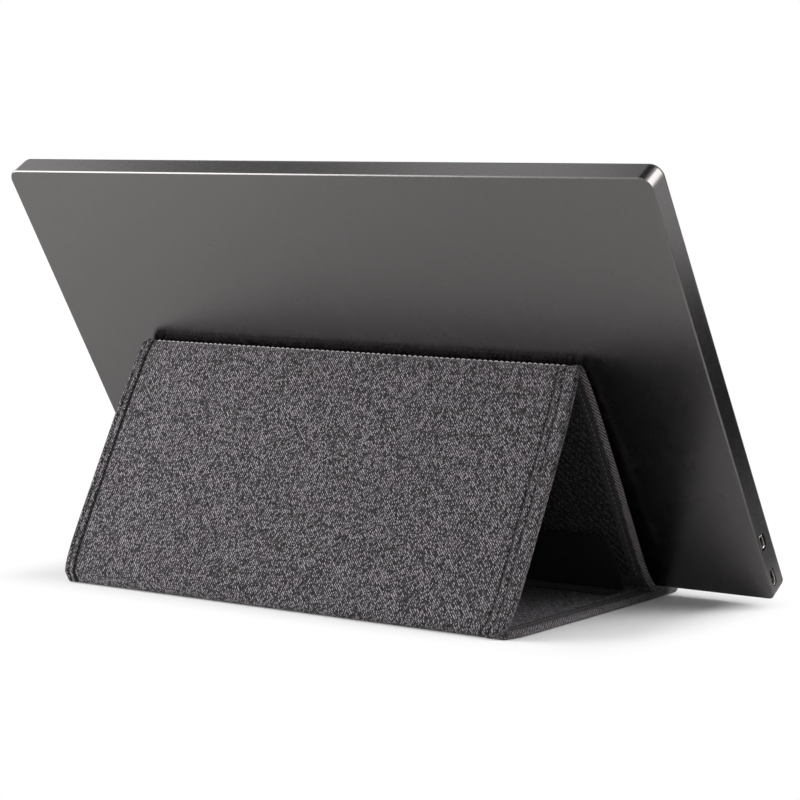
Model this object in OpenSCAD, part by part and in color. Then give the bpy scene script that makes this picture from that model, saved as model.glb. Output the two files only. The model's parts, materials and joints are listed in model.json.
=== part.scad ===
// Portable screen unit leaning on its own cover, which is folded into a three-sided stand.
// X runs to the right as the user sees the screen, Y runs from the screen to the back, Z is up.
// The origin is on the table, under the middle of the screen unit's lower back edge.

/* [Screen unit] */
// Width of the lit picture
picture_w = 344.2; // [330:0.1:385]
// Height of the lit picture
picture_h = 193.6; // [180:0.1:215]
// Width of the border at each side of the picture
side_border = 7.4; // [7:0.1:12]
// Width of the border above the picture
top_border = 7; // [6.5:0.1:12]
// Width of the border below the picture
foot_border = 22.6; // [20:0.1:30]
// Thickness of the screen unit
unit_t = 11.8; // [10.9:0.1:14]
// Lean of the screen unit back from upright, in degrees
lean = 31.3; // [26:0.1:36]
// Radius of the two top corners, seen from the back
top_corner_r = 6; // [4:0.5:9]
// Radius of the two bottom corners, seen from the back
bottom_corner_r = 3; // [2.5:0.25:3.5]
// Chamfer round the back edge
edge_chamfer = 0.7; // [0.3:0.1:0.9]
// Thickness of the housing's back wall
back_wall_t = 1; // [0.8:0.1:1.2]
// Thickness of the housing's side walls
side_wall_t = 1.5; // [1.2:0.1:1.8]

/* [Front frame] */
// Thickness of the front frame
frame_t = 1.1; // [0.8:0.1:1.3]
// Shadow line between the housing and the front frame
frame_seam = 0.1; // [0.05:0.05:0.2]
// Step in of the front frame from the housing's sides
frame_step = 0.25; // [0.1:0.05:0.5]
// Length of the lip that centres the front frame in the housing
spigot_l = 0.7; // [0.4:0.1:1]
// Thickness of that lip
spigot_t = 0.8; // [0.6:0.1:1.2]
// Gap between the picture and the front frame's opening
picture_margin = 0.6; // [0.2:0.1:1]

/* [Display stack] */
// Dark border of the glass beyond the picture, at the sides and the top
glass_border = 3.2; // [2:0.1:4]
// Dark border of the glass below the picture
glass_foot = 8; // [6:0.1:8.5]
// Thickness of the glass cell
glass_t = 1.1; // [0.8:0.1:1.2]
// Thickness of the optical films
film_t = 0.4; // [0.2:0.1:0.5]
// Thickness of the light guide
guide_t = 0.8; // [0.5:0.1:1]
// Thickness of the reflector sheet
reflector_t = 0.2; // [0.1:0.05:0.25]
// Thickness of the backlight tray's floor and rim
tray_t = 0.3; // [0.2:0.05:0.4]
// Gap between neighbouring layers of the display
layer_gap = 0.1; // [0.05:0.01:0.1]
// Thickness of the steel support plate
plate_t = 0.4; // [0.3:0.1:0.5]
// Height of the support plate's underside above the back wall
plate_lift = 4.6; // [4.5:0.1:4.7]
// Number of lamps along the light bar
lamp_count = 20; // [8:1:30]

/* [Electronics] */
// Length of the main board up the unit
board_h = 58; // [54:1:80]
// Width of the main board
board_w = 62; // [56:1:90]
// Thickness of the main board
board_t = 1; // [0.8:0.1:1.1]
// Height of the boards above the back wall
board_lift = 1.6; // [1.4:0.1:1.7]
// Distance of the screen board's ends from the glass's edges
driver_inset = 25.3; // [20:0.1:60]
// Distance of the board's screws from its edges
board_screw_inset = 4; // [3:0.5:5]
// Distance of the shield from the board's edges
shield_inset = 14; // [12:0.5:16]
// Distance of the status lamp from the picture's edge
lamp_inset = 14; // [8:0.5:30]
// Radius of the screws' shanks
screw_r = 0.9; // [0.7:0.05:1]
// Clearance round a screw in its boss
screw_clear = 0.1; // [0.05:0.05:0.2]
// Radius of the screw bosses
boss_r = 2.4; // [2:0.1:3]

/* [Ports] */
// Height of the USB-C socket's centre above the lower edge
usb_up = 10; // [8:0.1:12]
// Long outside width of the USB-C socket
usb_w = 8.94; // [8.34:0.01:9.2]
// Short outside width of the USB-C socket
usb_h = 3.26; // [2.8:0.01:3.3]
// Height of the micro HDMI socket's centre above the lower edge
hdmi_up = 30.1; // [26:0.1:40]
// Long outside width of the micro HDMI socket
hdmi_w = 6.6; // [6.2:0.1:7.2]
// Short outside width of the micro HDMI socket
hdmi_h = 3.1; // [2.8:0.1:3.3]
// Sheet thickness of both sockets
socket_t = 0.3; // [0.2:0.05:0.35]
// Depth of both sockets
socket_l = 7.3; // [6.5:0.1:8]
// Clearance between a socket and its cut-out
socket_clear = 0.35; // [0.2:0.05:0.5]
// Depth of a socket's mouth below the side wall's face
socket_sink = 0.5; // [0.2:0.1:0.8]

/* [Buttons] */
// Height of the power button's centre above the lower edge
power_up = 24; // [22:0.5:30]
// Height of the menu button's centre above the lower edge
menu_up = 46; // [42:0.5:50]
// Spacing of the menu, up and down buttons
button_pitch = 15; // [13.5:0.5:18]
// Length of a button
button_l = 9; // [7:0.5:10]
// Width of a button
button_w = 2.6; // [2:0.1:3]
// Height of a button above the side wall
button_out = 0.6; // [0.5:0.1:1]
// Travel of a button
button_travel = 0.35; // [0.2:0.05:0.4]
// Clearance round a button in its slot
button_clear = 0.12; // [0.1:0.01:0.2]

/* [Cover] */
// Width of the cover, along its folds
cover_w = 256.5; // [235:0.5:262]
// Offset of the cover's middle from the screen unit's middle
cover_shift = 6.5; // [-8:0.5:8]
// Distance from fold to fold, measured at the fold axes
fold_pitch = 120.8; // [112:0.1:126]
// Angle by which the rest panel stands steeper than the screen unit, in degrees
rest_wedge = 2.6; // [1:0.1:3.5]
// Gap between the screen unit's back and the top of the rest panel
rest_gap = 1; // [0.6:0.1:2]
// Thickness of the outer cloth
cloth_t = 0.8; // [0.6:0.05:1]
// Thickness of each stiffening board
stiffener_t = 0.9; // [0.7:0.05:1.2]
// Thickness of the pouch lining between the two boards
lining_t = 0.3; // [0.2:0.05:0.4]
// Thickness of the cloth on the inside faces
inner_cloth_t = 0.4; // [0.3:0.05:0.6]
// Clearance of each panel from its fold axis
fold_clear = 0.3; // [0.2:0.05:0.4]
// Width of the sewn border along the panels' free edges
hem_w = 8.5; // [7:0.5:11]
// Length of the lip in front of the screen unit's lower back edge
lip_l = 22; // [14:0.5:24]
// Radius of the base panel's front corners
lip_corner_r = 10; // [9:0.5:14]
// Thickness of the grip strip on the lip
grip_t = 1.65; // [1:0.05:2.5]
// Depth of the grip strip, front to back
grip_l = 12; // [8:0.5:13]
// Gap between the grip strip and the screen unit's lower edge
seat_gap = 0.05; // [0.02:0.01:0.1]
// Diameter of the sewing thread
thread_d = 0.5; // [0.3:0.05:0.8]
// Distance of the stitched row's ends from the cover's edges
thread_inset = 10; // [8:0.5:14]

/* [Closing flap] */
// Height of the flap
flap_h = 29; // [26:0.5:40]
// Distance of the flap's ends from the cover's edges
flap_inset = 13; // [12:0.5:30]
// Radius of the flap's top corners
flap_corner_r = 7; // [4:0.5:10]
// Thickness of the flap's face cloth and lining, each
flap_skin_t = 0.5; // [0.3:0.05:0.6]
// Thickness of the flap's core and of the magnets in it
flap_core_t = 0.6; // [0.4:0.05:0.8]
// Gap between the flap and the rest panel
flap_gap = 0.8; // [0.7:0.1:1.2]
// Gap between the flap's foot and the base panel
flap_lift = 0.4; // [0.3:0.05:0.6]
// Number of magnets in the flap
magnet_count = 4; // [2:1:6]
// Length of a magnet
magnet_l = 20; // [12:1:26]
// Width of a magnet
magnet_w = 8; // [5:0.5:10]
// Distance of the magnets from the flap's top edge
magnet_inset = 6; // [3:0.5:9]
// Margin of a catch plate round its magnet
catch_margin = 2; // [1:0.5:3]

/* [Hidden] */
$fn = 48;

unit_w = picture_w + 2 * side_border;
unit_h = foot_border + picture_h + top_border;

// Cover: every panel is the same stack, and its fold axes lie fold_clear inside its inner face
axis_t = cloth_t + 2 * stiffener_t + lining_t + inner_cloth_t + fold_clear;
stack_top = axis_t - fold_clear;
prop_angle = 90 - lean + rest_wedge;
seat_z = stack_top + grip_t + seat_gap - edge_chamfer * sin(lean);
apex_z = axis_t + fold_pitch * sin(prop_angle);
front_y = (rest_gap + (apex_z + axis_t * cos(prop_angle) - seat_z) * sin(lean)) / cos(lean)
    - fold_pitch * cos(prop_angle) + axis_t * sin(prop_angle);
apex_y = front_y + fold_pitch * cos(prop_angle);
rear_y = front_y + 2 * fold_pitch * cos(prop_angle);
base_l = rear_y + lip_l;
toe_gap = 0.5;
crease_gap = 0.05;
toe_s = (toe_gap - fold_clear - fold_clear * cos(prop_angle)) / sin(prop_angle);

// Levels in the cover's stack, measured outwards from the fold axis
level_inner_cloth = fold_clear;
level_inner_board = level_inner_cloth + inner_cloth_t;
level_lining = level_inner_board + stiffener_t;
level_outer_board = level_lining + lining_t;
level_outer_cloth = level_outer_board + stiffener_t;

// Flap, measured in the rest panel's own frame
flap_t = 2 * flap_skin_t + flap_core_t;
flap_mid_n = fold_clear - flap_gap - flap_t / 2;
flap_axis_z = stack_top + flap_lift + flap_t / 2;
flap_foot_s = (flap_axis_z - axis_t - flap_mid_n * cos(prop_angle)) / sin(prop_angle);
flap_axis_y = front_y + flap_foot_s * cos(prop_angle) - flap_mid_n * sin(prop_angle);
flap_strip_l = 18;
flap_strip_lead = 1;
flap_strip_t = 0.25;
flap_w = cover_w - 2 * flap_inset;
magnet_s = flap_foot_s + flap_h - magnet_w / 2 - magnet_inset;
magnet_pitch = (flap_w - 2 * flap_corner_r - magnet_l) / (magnet_count - 1);

// Levels in the screen unit, measured from its back towards the user
board_z = back_wall_t + board_lift;
parts_z = board_z + board_t;
plate_z = back_wall_t + plate_lift;
frame_z = unit_t - frame_t;
wall_top = frame_z - frame_seam;
glass_z = frame_z - layer_gap - glass_t;
film_z = glass_z - layer_gap - film_t;
guide_z = film_z - layer_gap - guide_t;
reflector_z = guide_z - layer_gap - reflector_t;
tray_z = reflector_z - layer_gap - tray_t;
usb_z = parts_z + usb_h / 2 - board_t;
hdmi_z = parts_z + hdmi_h / 2 - board_t;

// Places in the screen unit's face
glass_y = foot_border - glass_foot;
glass_w = picture_w + 2 * glass_border;
glass_h = picture_h + glass_foot + glass_border;
fit_gap = 0.5;
light_bar_l = 1.2;
lamp_w = 4;
lamp_margin = 10;
wall_in = unit_w / 2 - side_wall_t;
board_edge = wall_in - fit_gap;
board_x = -board_edge;
board_y = side_wall_t + fit_gap;
plate_inset = 8;
plate_screw_inset = 6;
plate_w = unit_w - 2 * (side_wall_t + plate_inset);
plate_y = glass_y + fit_gap;
plate_h = unit_h - plate_y - side_wall_t - fit_gap;
driver_w = glass_w - 2 * driver_inset;
driver_h = glass_y - side_wall_t - 3 * fit_gap;
driver_z = tray_z + tray_t;
driver_t = 0.8;
screw_head_r = 1.9;
screw_head_t = 0.45;
plate_rows = [plate_y + plate_screw_inset, plate_y + plate_h / 2, plate_y + plate_h - plate_screw_inset];
plate_columns = [-0.44, -0.15, 0.15, 0.44];
board_holes = [
    [board_x + board_w / 2, board_y + board_screw_inset],
    [board_x + board_w - board_screw_inset, board_y + board_screw_inset],
    [board_x + board_w - board_screw_inset, board_y + board_h - board_screw_inset],
    [board_x + 3 * board_screw_inset, board_y + board_h - board_screw_inset]];
shield_x = board_x + shield_inset;
shield_y = board_y + shield_inset;
shield_w = board_w - 1.75 * shield_inset;
shield_h = board_h - 1.75 * shield_inset;
// Each chip's place and size as shares of the shield: left, low, width, height
chips = [
    [0.1, 0.12, 0.32, 0.35], [0.56, 0.17, 0.21, 0.24],
    [0.16, 0.58, 0.18, 0.26], [0.54, 0.58, 0.13, 0.18]];
shield_t = 0.2;
shield_lift = plate_z - parts_z - 0.3;

// Buttons and the board behind them
button_z = parts_z + 1.4;
button_places = [power_up, menu_up, menu_up + button_pitch, menu_up + 2 * button_pitch];
flange_t = 0.8;
flange_lap = 0.9;
flange_gap = 0.05;
flange_x = wall_in - flange_gap - flange_t;
switch_x = flange_x - button_travel - 0.1;
switch_l = 3;
switch_h = 2.8;
ribbon_t = 0.3;
button_board_w = 12;
button_board_x = switch_x - button_board_w;
button_board_y = power_up - 8;
button_board_h = button_places[3] + 8 - button_board_y;

module in_screen() {
    translate([0, 0, seat_z]) rotate([90 - lean, 0, 0]) children();
}

module in_base() {
    translate([cover_shift, rear_y, axis_t]) rotate([180, 0, 0]) children();
}

module in_prop() {
    translate([cover_shift, apex_y, apex_z]) rotate([-prop_angle, 0, 0]) children();
}

module in_rest() {
    translate([cover_shift, front_y, axis_t]) rotate([prop_angle, 0, 0]) children();
}

// ---------- screen unit ----------

module unit_outline(inset) {
    w = unit_w - 2 * inset;
    rt = top_corner_r - inset;
    rb = bottom_corner_r - inset;
    low = inset;
    high = unit_h - inset;
    translate([-w / 2, low + rb]) square([w, high - low - rt - rb]);
    translate([-w / 2 + rb, low]) square([w - 2 * rb, rb]);
    translate([-w / 2 + rt, high - rt]) square([w - 2 * rt, rt]);
    for (side = [-1, 1]) {
        translate([side * (w / 2 - rb), low + rb]) circle(r = rb);
        translate([side * (w / 2 - rt), high - rt]) circle(r = rt);
    }
}

// The slab of the chamfered back edge: three straight prisms and a cone at each corner
module chamfer_slab() {
    c = edge_chamfer;
    half = unit_w / 2;
    translate([0, unit_h - top_corner_r, 0]) rotate([90, 0, 0])
        linear_extrude(unit_h - top_corner_r - bottom_corner_r)
            polygon([[-half + c, 0], [half - c, 0], [half, c], [-half, c]]);
    translate([-(half - bottom_corner_r), 0, 0]) rotate([90, 0, 90])
        linear_extrude(unit_w - 2 * bottom_corner_r)
            polygon([[c, 0], [bottom_corner_r, 0], [bottom_corner_r, c], [0, c]]);
    translate([-(half - top_corner_r), unit_h, 0]) rotate([90, 0, 90])
        linear_extrude(unit_w - 2 * top_corner_r)
            polygon([[-top_corner_r, 0], [-c, 0], [0, c], [-top_corner_r, c]]);
    for (side = [-1, 1]) {
        translate([side * (half - bottom_corner_r), bottom_corner_r, 0])
            cylinder(h = c, r1 = bottom_corner_r - c, r2 = bottom_corner_r);
        translate([side * (half - top_corner_r), unit_h - top_corner_r, 0])
            cylinder(h = c, r1 = top_corner_r - c, r2 = top_corner_r);
    }
}

// A slot with round ends, l long and w wide, lying along the second axis
module pill(l, w) {
    translate([-w / 2, -(l - w) / 2]) square([w, l - w]);
    for (end = [-1, 1]) translate([0, end * (l - w) / 2]) circle(d = w);
}

// The micro HDMI outline: a rectangle with its two corners nearest the back cut off
module hdmi_outline(grow) {
    w = hdmi_h + 2 * grow;
    l = hdmi_w + 2 * grow;
    cut = l * 0.14;
    polygon([[w / 2, -l / 2], [w / 2, l / 2], [-w / 2 + cut, l / 2], [-w / 2, l / 2 - cut],
        [-w / 2, -l / 2 + cut], [-w / 2 + cut, -l / 2]]);
}

// Turns a drawing of (depth, height) into a bar along X that starts at x
module side_bar(x, height, depth, l) {
    translate([x, height, depth]) rotate([0, 90, 0]) mirror([1, 0, 0]) linear_extrude(l) children();
}

module bosses(places, top) {
    for (place = places)
        translate([place[0], place[1], back_wall_t]) difference() {
            cylinder(r = boss_r, h = top - back_wall_t);
            translate([0, 0, 0.4]) cylinder(r = screw_r + screw_clear, h = top);
        }
}

function plate_places() = [for (row = plate_rows, column = plate_columns)
    if (!(row == plate_rows[0] && column == plate_columns[0])) [column * plate_w, row]];

module screws(places, top, l) {
    for (place = places) translate([place[0], place[1], top]) {
        cylinder(r = screw_head_r, h = screw_head_t);
        translate([0, 0, -l]) cylinder(r = screw_r, h = l);
    }
}

module rear_housing() {
    color("#4b4a49") in_screen() {
        difference() {
            union() {
                chamfer_slab();
                translate([0, 0, edge_chamfer]) linear_extrude(wall_top - edge_chamfer) unit_outline(0);
            }
            translate([0, 0, back_wall_t]) linear_extrude(unit_t) unit_outline(side_wall_t);
            side_bar(-unit_w, usb_up, usb_z, unit_w)
                pill(usb_w + 2 * socket_clear, usb_h + 2 * socket_clear);
            side_bar(-unit_w, hdmi_up, hdmi_z, unit_w) hdmi_outline(2 * socket_clear);
            for (place = button_places)
                side_bar(0, place, button_z, unit_w)
                    pill(button_l + 2 * button_clear, button_w + 2 * button_clear);
        }
        bosses(plate_places(), plate_z);
        bosses(board_holes, board_z);
    }
}

module front_frame() {
    color("#1b1b1c") in_screen() difference() {
        union() {
            translate([0, 0, frame_z]) linear_extrude(frame_t) unit_outline(frame_step);
            translate([0, 0, frame_z - spigot_l - frame_seam]) linear_extrude(spigot_l + frame_seam)
                difference() {
                    unit_outline(side_wall_t + socket_clear);
                    unit_outline(side_wall_t + socket_clear + spigot_t);
                }
        }
        translate([-picture_w / 2 - picture_margin, foot_border - picture_margin, 0])
            cube([picture_w + 2 * picture_margin, picture_h + 2 * picture_margin, 2 * unit_t]);
        translate([picture_w / 2 - lamp_inset, glass_y / 2, 0]) cylinder(r = 0.9, h = 2 * unit_t);
    }
}

module status_lamp_lens() {
    color("#e8eef2") in_screen() translate([picture_w / 2 - lamp_inset, glass_y / 2, driver_z + driver_t]) {
        cylinder(r = 0.8, h = unit_t - driver_z - driver_t - 0.1);
    }
}

// A sheet that lies under the glass: pushed in from the glass's edges, at a level, with a thickness
module sheet(z, t, inset, foot) {
    in_screen() translate([-glass_w / 2 + inset, glass_y + foot, z])
        cube([glass_w - 2 * inset, glass_h - foot - inset, t]);
}

module lcd_glass() {
    color("#101114") sheet(glass_z, glass_t, 0, 0);
}

module optical_films() {
    color("#f4f6f8") sheet(film_z, film_t, 2 * tray_t, 2 * tray_t);
}

module light_guide() {
    color("#dfeef2") sheet(guide_z, guide_t, 2 * tray_t, 2 * tray_t + light_bar_l + 2 * layer_gap);
}

module reflector_sheet() {
    color("#fafafa") sheet(reflector_z, reflector_t, 2 * tray_t, 2 * tray_t);
}

module light_bar() {
    color("#e6e2c8") in_screen() translate([-glass_w / 2 + 2 * tray_t, glass_y + 2 * tray_t, guide_z])
        cube([glass_w - 4 * tray_t, light_bar_l / 2, guide_t]);
}

module lamps() {
    row = glass_w - 2 * lamp_margin - lamp_w;
    color("#fff6c0") in_screen()
        for (i = [0 : lamp_count - 1])
            translate([(i / (lamp_count - 1) - 0.5) * row - lamp_w / 2,
                glass_y + 2 * tray_t + light_bar_l / 2, guide_z])
                cube([lamp_w, light_bar_l / 2, guide_t * 0.8]);
}

module backlight_tray() {
    color("#8f9194") difference() {
        sheet(tray_z, glass_z - layer_gap - tray_z, 0, 0);
        sheet(tray_z + tray_t, unit_t, tray_t, tray_t);
    }
}

module screen_board() {
    color("#1e5a36") in_screen() translate([-driver_w / 2, side_wall_t + fit_gap, driver_z])
        cube([driver_w, driver_h, driver_t]);
}

module support_plate() {
    color("#a9adb0") in_screen() difference() {
        translate([-plate_w / 2, plate_y, plate_z]) cube([plate_w, plate_h, plate_t]);
        for (place = plate_places())
            translate([place[0], place[1], 0]) cylinder(r = screw_r + screw_clear, h = unit_t);
    }
}

module main_board() {
    color("#1f6b3f") in_screen() difference() {
        translate([board_x, board_y, board_z]) cube([board_w, board_h, board_t]);
        for (slot = [[usb_up, usb_w], [hdmi_up, hdmi_w]])
            translate([board_x - 1, slot[0] - slot[1] / 2 - socket_clear, 0])
                cube([socket_l + 1, slot[1] + 2 * socket_clear, unit_t]);
        for (place = board_holes)
            translate([place[0], place[1], 0]) cylinder(r = screw_r + screw_clear, h = unit_t);
    }
}

module board_chips() {
    chip_t = shield_lift - 3 * shield_t;
    color("#202224") in_screen() {
        for (chip = chips)
            translate([shield_x + chip[0] * shield_w, shield_y + chip[1] * shield_h, parts_z])
                cube([chip[2] * shield_w, chip[3] * shield_h, chip_t]);
    }
}

module board_shield() {
    color("#c3c6c8") in_screen() difference() {
        translate([shield_x, shield_y, parts_z]) cube([shield_w, shield_h, shield_lift]);
        translate([shield_x + shield_t, shield_y + shield_t, parts_z - shield_t])
            cube([shield_w - 2 * shield_t, shield_h - 2 * shield_t, shield_lift]);
    }
}

module usb_c_socket() {
    color("#b9bcbf") in_screen() difference() {
        side_bar(-unit_w / 2 + socket_sink, usb_up, usb_z, socket_l) pill(usb_w, usb_h);
        side_bar(-unit_w / 2, usb_up, usb_z, socket_sink + socket_l - 2 * socket_t)
            pill(usb_w - 2 * socket_t, usb_h - 2 * socket_t);
    }
}

module usb_c_tongue() {
    color("#26282b") in_screen()
        side_bar(-unit_w / 2 + socket_sink + 1, usb_up, usb_z, socket_l - 2 * socket_t - 1)
            square([0.7, usb_w - 2.2], center = true);
}

module micro_hdmi_socket() {
    color("#b9bcbf") in_screen() difference() {
        side_bar(-unit_w / 2 + socket_sink, hdmi_up, hdmi_z, socket_l) hdmi_outline(0);
        side_bar(-unit_w / 2, hdmi_up, hdmi_z, socket_sink + socket_l - 2 * socket_t)
            hdmi_outline(-socket_t);
    }
}

module micro_hdmi_tongue() {
    color("#26282b") in_screen()
        side_bar(-unit_w / 2 + socket_sink + 1, hdmi_up, hdmi_z + 0.3, socket_l - 2 * socket_t - 1)
            square([0.6, hdmi_w - 2.6], center = true);
}

// Flat ribbon from the main board's top face up to the screen board
module display_ribbon() {
    ribbon_w = 14;
    end_l = 5;
    x = board_x + board_w - ribbon_w - 3 * board_screw_inset;
    low = side_wall_t + 2 * fit_gap;
    color("#b98a3a") in_screen() {
        translate([x, low, parts_z]) cube([ribbon_w, end_l, ribbon_t]);
        translate([x, low, parts_z + ribbon_t]) cube([ribbon_w, ribbon_t, driver_z - parts_z - ribbon_t]);
        translate([x, low + ribbon_t, driver_z - ribbon_t]) cube([ribbon_w, end_l, ribbon_t]);
    }
}

module button_board() {
    color("#1f6b3f") in_screen() translate([button_board_x, button_board_y, board_z])
        cube([button_board_w, button_board_h, board_t]);
}

module button_switches() {
    color("#303236") in_screen()
        for (place = button_places)
            translate([switch_x - switch_l, place - 2.2, parts_z]) cube([switch_l, 4.4, switch_h]);
}

// Flat ribbon just above the lowest bosses, from under the main board to under the button board
module button_ribbon() {
    ribbon_w = 6;
    start = board_x + board_w - shield_inset;
    color("#b98a3a") in_screen() translate([start, plate_rows[0] + boss_r + fit_gap, board_z - ribbon_t])
        cube([button_board_x + button_board_w / 2 - start, ribbon_w, ribbon_t]);
}

module side_button(place) {
    color("#3a3a3b") in_screen() {
        side_bar(wall_in - flange_gap, place, button_z, side_wall_t + flange_gap + button_out)
            pill(button_l, button_w);
        side_bar(flange_x, place, button_z, flange_t)
            pill(button_l + 2 * flange_lap, button_w + 2 * flange_lap);
    }
}

module power_button() {
    side_button(button_places[0]);
}

module menu_button() {
    side_button(button_places[1]);
}

module up_button() {
    side_button(button_places[2]);
}

module down_button() {
    side_button(button_places[3]);
}

module plate_screws() {
    color("#8d9093") in_screen() screws(plate_places(), plate_z + plate_t, 3);
}

module board_screws() {
    color("#8d9093") in_screen() screws(board_holes, parts_z, board_t + 1.1);
}

// ---------- folded cover ----------

// One flat layer of a panel, between the two sewn borders
module layer(from, t, start, end) {
    translate([-cover_w / 2 + hem_w, start, from]) cube([cover_w - 2 * hem_w, end - start, t]);
}

// The base panel's outline, pushed in from its free edges
module base_outline(inset) {
    w = cover_w - 2 * inset;
    l = base_l - inset;
    r = max(lip_corner_r - inset, 0.5);
    translate([-w / 2, 0]) square([w, l - r]);
    translate([-w / 2 + r, l - r]) square([w - 2 * r, r]);
    for (side = [-1, 1]) translate([side * (w / 2 - r), l - r]) circle(r = r);
}

module base_layer(from, t) {
    in_base() translate([0, 0, from]) linear_extrude(t) base_outline(hem_w);
}

module base_outer_cloth() {
    color("#575458") base_layer(level_outer_cloth, cloth_t);
}

module base_outer_board() {
    color("#8a7a62") base_layer(level_outer_board, stiffener_t);
}

module base_lining() {
    color("#121213") base_layer(level_lining, lining_t);
}

module base_inner_board() {
    color("#8a7a62") base_layer(level_inner_board, stiffener_t);
}

module base_inner_cloth() {
    color("#3a383c") base_layer(level_inner_cloth, inner_cloth_t);
}

module base_hem() {
    color("#4c494d") in_base() translate([0, 0, fold_clear]) linear_extrude(stack_top) difference() {
        base_outline(0);
        base_outline(hem_w);
    }
}

// The strip ends short of the rest panel's toe
module lip_grip() {
    color("#18181a") in_base() translate([-flap_w / 2, base_l - 2 - grip_l, fold_clear - grip_t])
        cube([flap_w, grip_l, grip_t]);
}

// Cloth strip sewn to the base panel, which holds the flap's foot
module flap_strip() {
    color("#2c2b2d") translate([cover_shift - flap_w / 2, flap_axis_y - flap_strip_lead, stack_top])
        cube([flap_w, flap_strip_l, flap_strip_t]);
}

// Outer cloth round a fold: a strip of a tube about the fold axis, from one angle to another
module crease(from, to) {
    reach = 2 * axis_t;
    middle = (from + to) / 2;
    rotate([90, 0, 90]) translate([0, 0, -cover_w / 2]) linear_extrude(cover_w) intersection() {
        difference() {
            circle(r = axis_t);
            circle(r = axis_t - cloth_t);
        }
        polygon([[0, 0], reach * [cos(from), sin(from)], 2 * reach * [cos(middle), sin(middle)],
            reach * [cos(to), sin(to)]]);
    }
}

module rear_crease() {
    color("#504d51") translate([cover_shift, rear_y, axis_t]) crease(-90, 90 - prop_angle);
}

module apex_crease() {
    color("#504d51") translate([cover_shift, apex_y, apex_z]) crease(90 - prop_angle, 90 + prop_angle);
}

module apex_thread() {
    l = cover_w - 2 * thread_inset;
    color("#b9b6bb") translate([cover_shift - l / 2, apex_y, apex_z + axis_t + thread_d / 2])
        rotate([0, 90, 0]) cylinder(d = thread_d, h = l);
}

module prop_layer(from, t, end_gap) {
    in_prop() layer(from, t, end_gap, fold_pitch - end_gap);
}

module prop_outer_cloth() {
    color("#575458") prop_layer(level_outer_cloth, cloth_t, crease_gap);
}

module prop_outer_board() {
    color("#8a7a62") prop_layer(level_outer_board, stiffener_t, fold_clear);
}

module prop_lining() {
    color("#121213") prop_layer(level_lining, lining_t, fold_clear);
}

module prop_inner_board() {
    color("#8a7a62") prop_layer(level_inner_board, stiffener_t, fold_clear);
}

module prop_inner_cloth() {
    color("#3a383c") prop_layer(level_inner_cloth, inner_cloth_t, fold_clear);
}

module prop_hems() {
    color("#4c494d") in_prop()
        for (side = [-1, 1])
            translate([side * (cover_w - hem_w) / 2 - hem_w / 2, fold_clear, fold_clear])
                cube([hem_w, fold_pitch - 2 * fold_clear, stack_top]);
}

module rest_layer(from, t) {
    in_rest() layer(from, t, toe_s + hem_w, fold_pitch - fold_clear);
}

module rest_outer_cloth() {
    color("#575458") in_rest() layer(level_outer_cloth, cloth_t, toe_s + hem_w, fold_pitch - crease_gap);
}

module rest_outer_board() {
    color("#8a7a62") rest_layer(level_outer_board, stiffener_t);
}

module rest_lining() {
    color("#121213") rest_layer(level_lining, lining_t);
}

function magnet_x(i) = -(magnet_count - 1) * magnet_pitch / 2 + i * magnet_pitch - magnet_l / 2;

// Steel strips that the flap's magnets hold, let into the inner board
module catch_shape() {
    in_rest()
        for (i = [0 : magnet_count - 1])
            translate([magnet_x(i) - catch_margin, magnet_s - magnet_w / 2 - catch_margin, level_inner_board])
                cube([magnet_l + 2 * catch_margin, magnet_w + 2 * catch_margin, stiffener_t]);
}

module catch_plates() {
    color("#9ea2a5") catch_shape();
}

module rest_inner_board() {
    color("#8a7a62") difference() {
        rest_layer(level_inner_board, stiffener_t);
        catch_shape();
    }
}

module rest_inner_cloth() {
    color("#3a383c") rest_layer(level_inner_cloth, inner_cloth_t);
}

module rest_hem() {
    color("#4c494d") in_rest() difference() {
        translate([-cover_w / 2, toe_s, fold_clear])
            cube([cover_w, fold_pitch - fold_clear - toe_s, stack_top]);
        translate([-cover_w / 2 + hem_w, toe_s + hem_w, 0])
            cube([cover_w - 2 * hem_w, fold_pitch, 2 * axis_t]);
    }
}

module flap_outline() {
    r = flap_corner_r;
    translate([-flap_w / 2, 0]) square([flap_w, flap_h - r]);
    translate([-flap_w / 2 + r, flap_h - r]) square([flap_w - 2 * r, r]);
    for (side = [-1, 1]) translate([side * (flap_w / 2 - r), flap_h - r]) circle(r = r);
}

module flap_layer(from, t) {
    in_rest() translate([0, flap_foot_s, flap_mid_n - flap_t / 2 + from]) linear_extrude(t) flap_outline();
}

// Rounded foot of the flap, which turns on the flap's axis
module flap_foot() {
    color("#2c2b2d") in_rest() translate([-flap_w / 2, flap_foot_s, flap_mid_n]) rotate([90, 0, 90])
        linear_extrude(flap_w) intersection() {
            circle(d = flap_t);
            translate([-flap_t, -flap_t]) square([flap_t, 2 * flap_t]);
        }
}

module magnet_shape() {
    in_rest()
        for (i = [0 : magnet_count - 1])
            translate([magnet_x(i), magnet_s - magnet_w / 2, flap_mid_n - flap_core_t / 2])
                cube([magnet_l, magnet_w, flap_core_t]);
}

module flap_magnets() {
    color("#b0b3b6") magnet_shape();
}

module flap_core() {
    color("#8a7a62") difference() {
        flap_layer(flap_skin_t, flap_core_t);
        magnet_shape();
    }
}

module flap_cloth() {
    color("#3a383c") flap_layer(flap_skin_t + flap_core_t, flap_skin_t);
}

module flap_lining() {
    color("#0f0f10") flap_layer(0, flap_skin_t);
}

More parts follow.
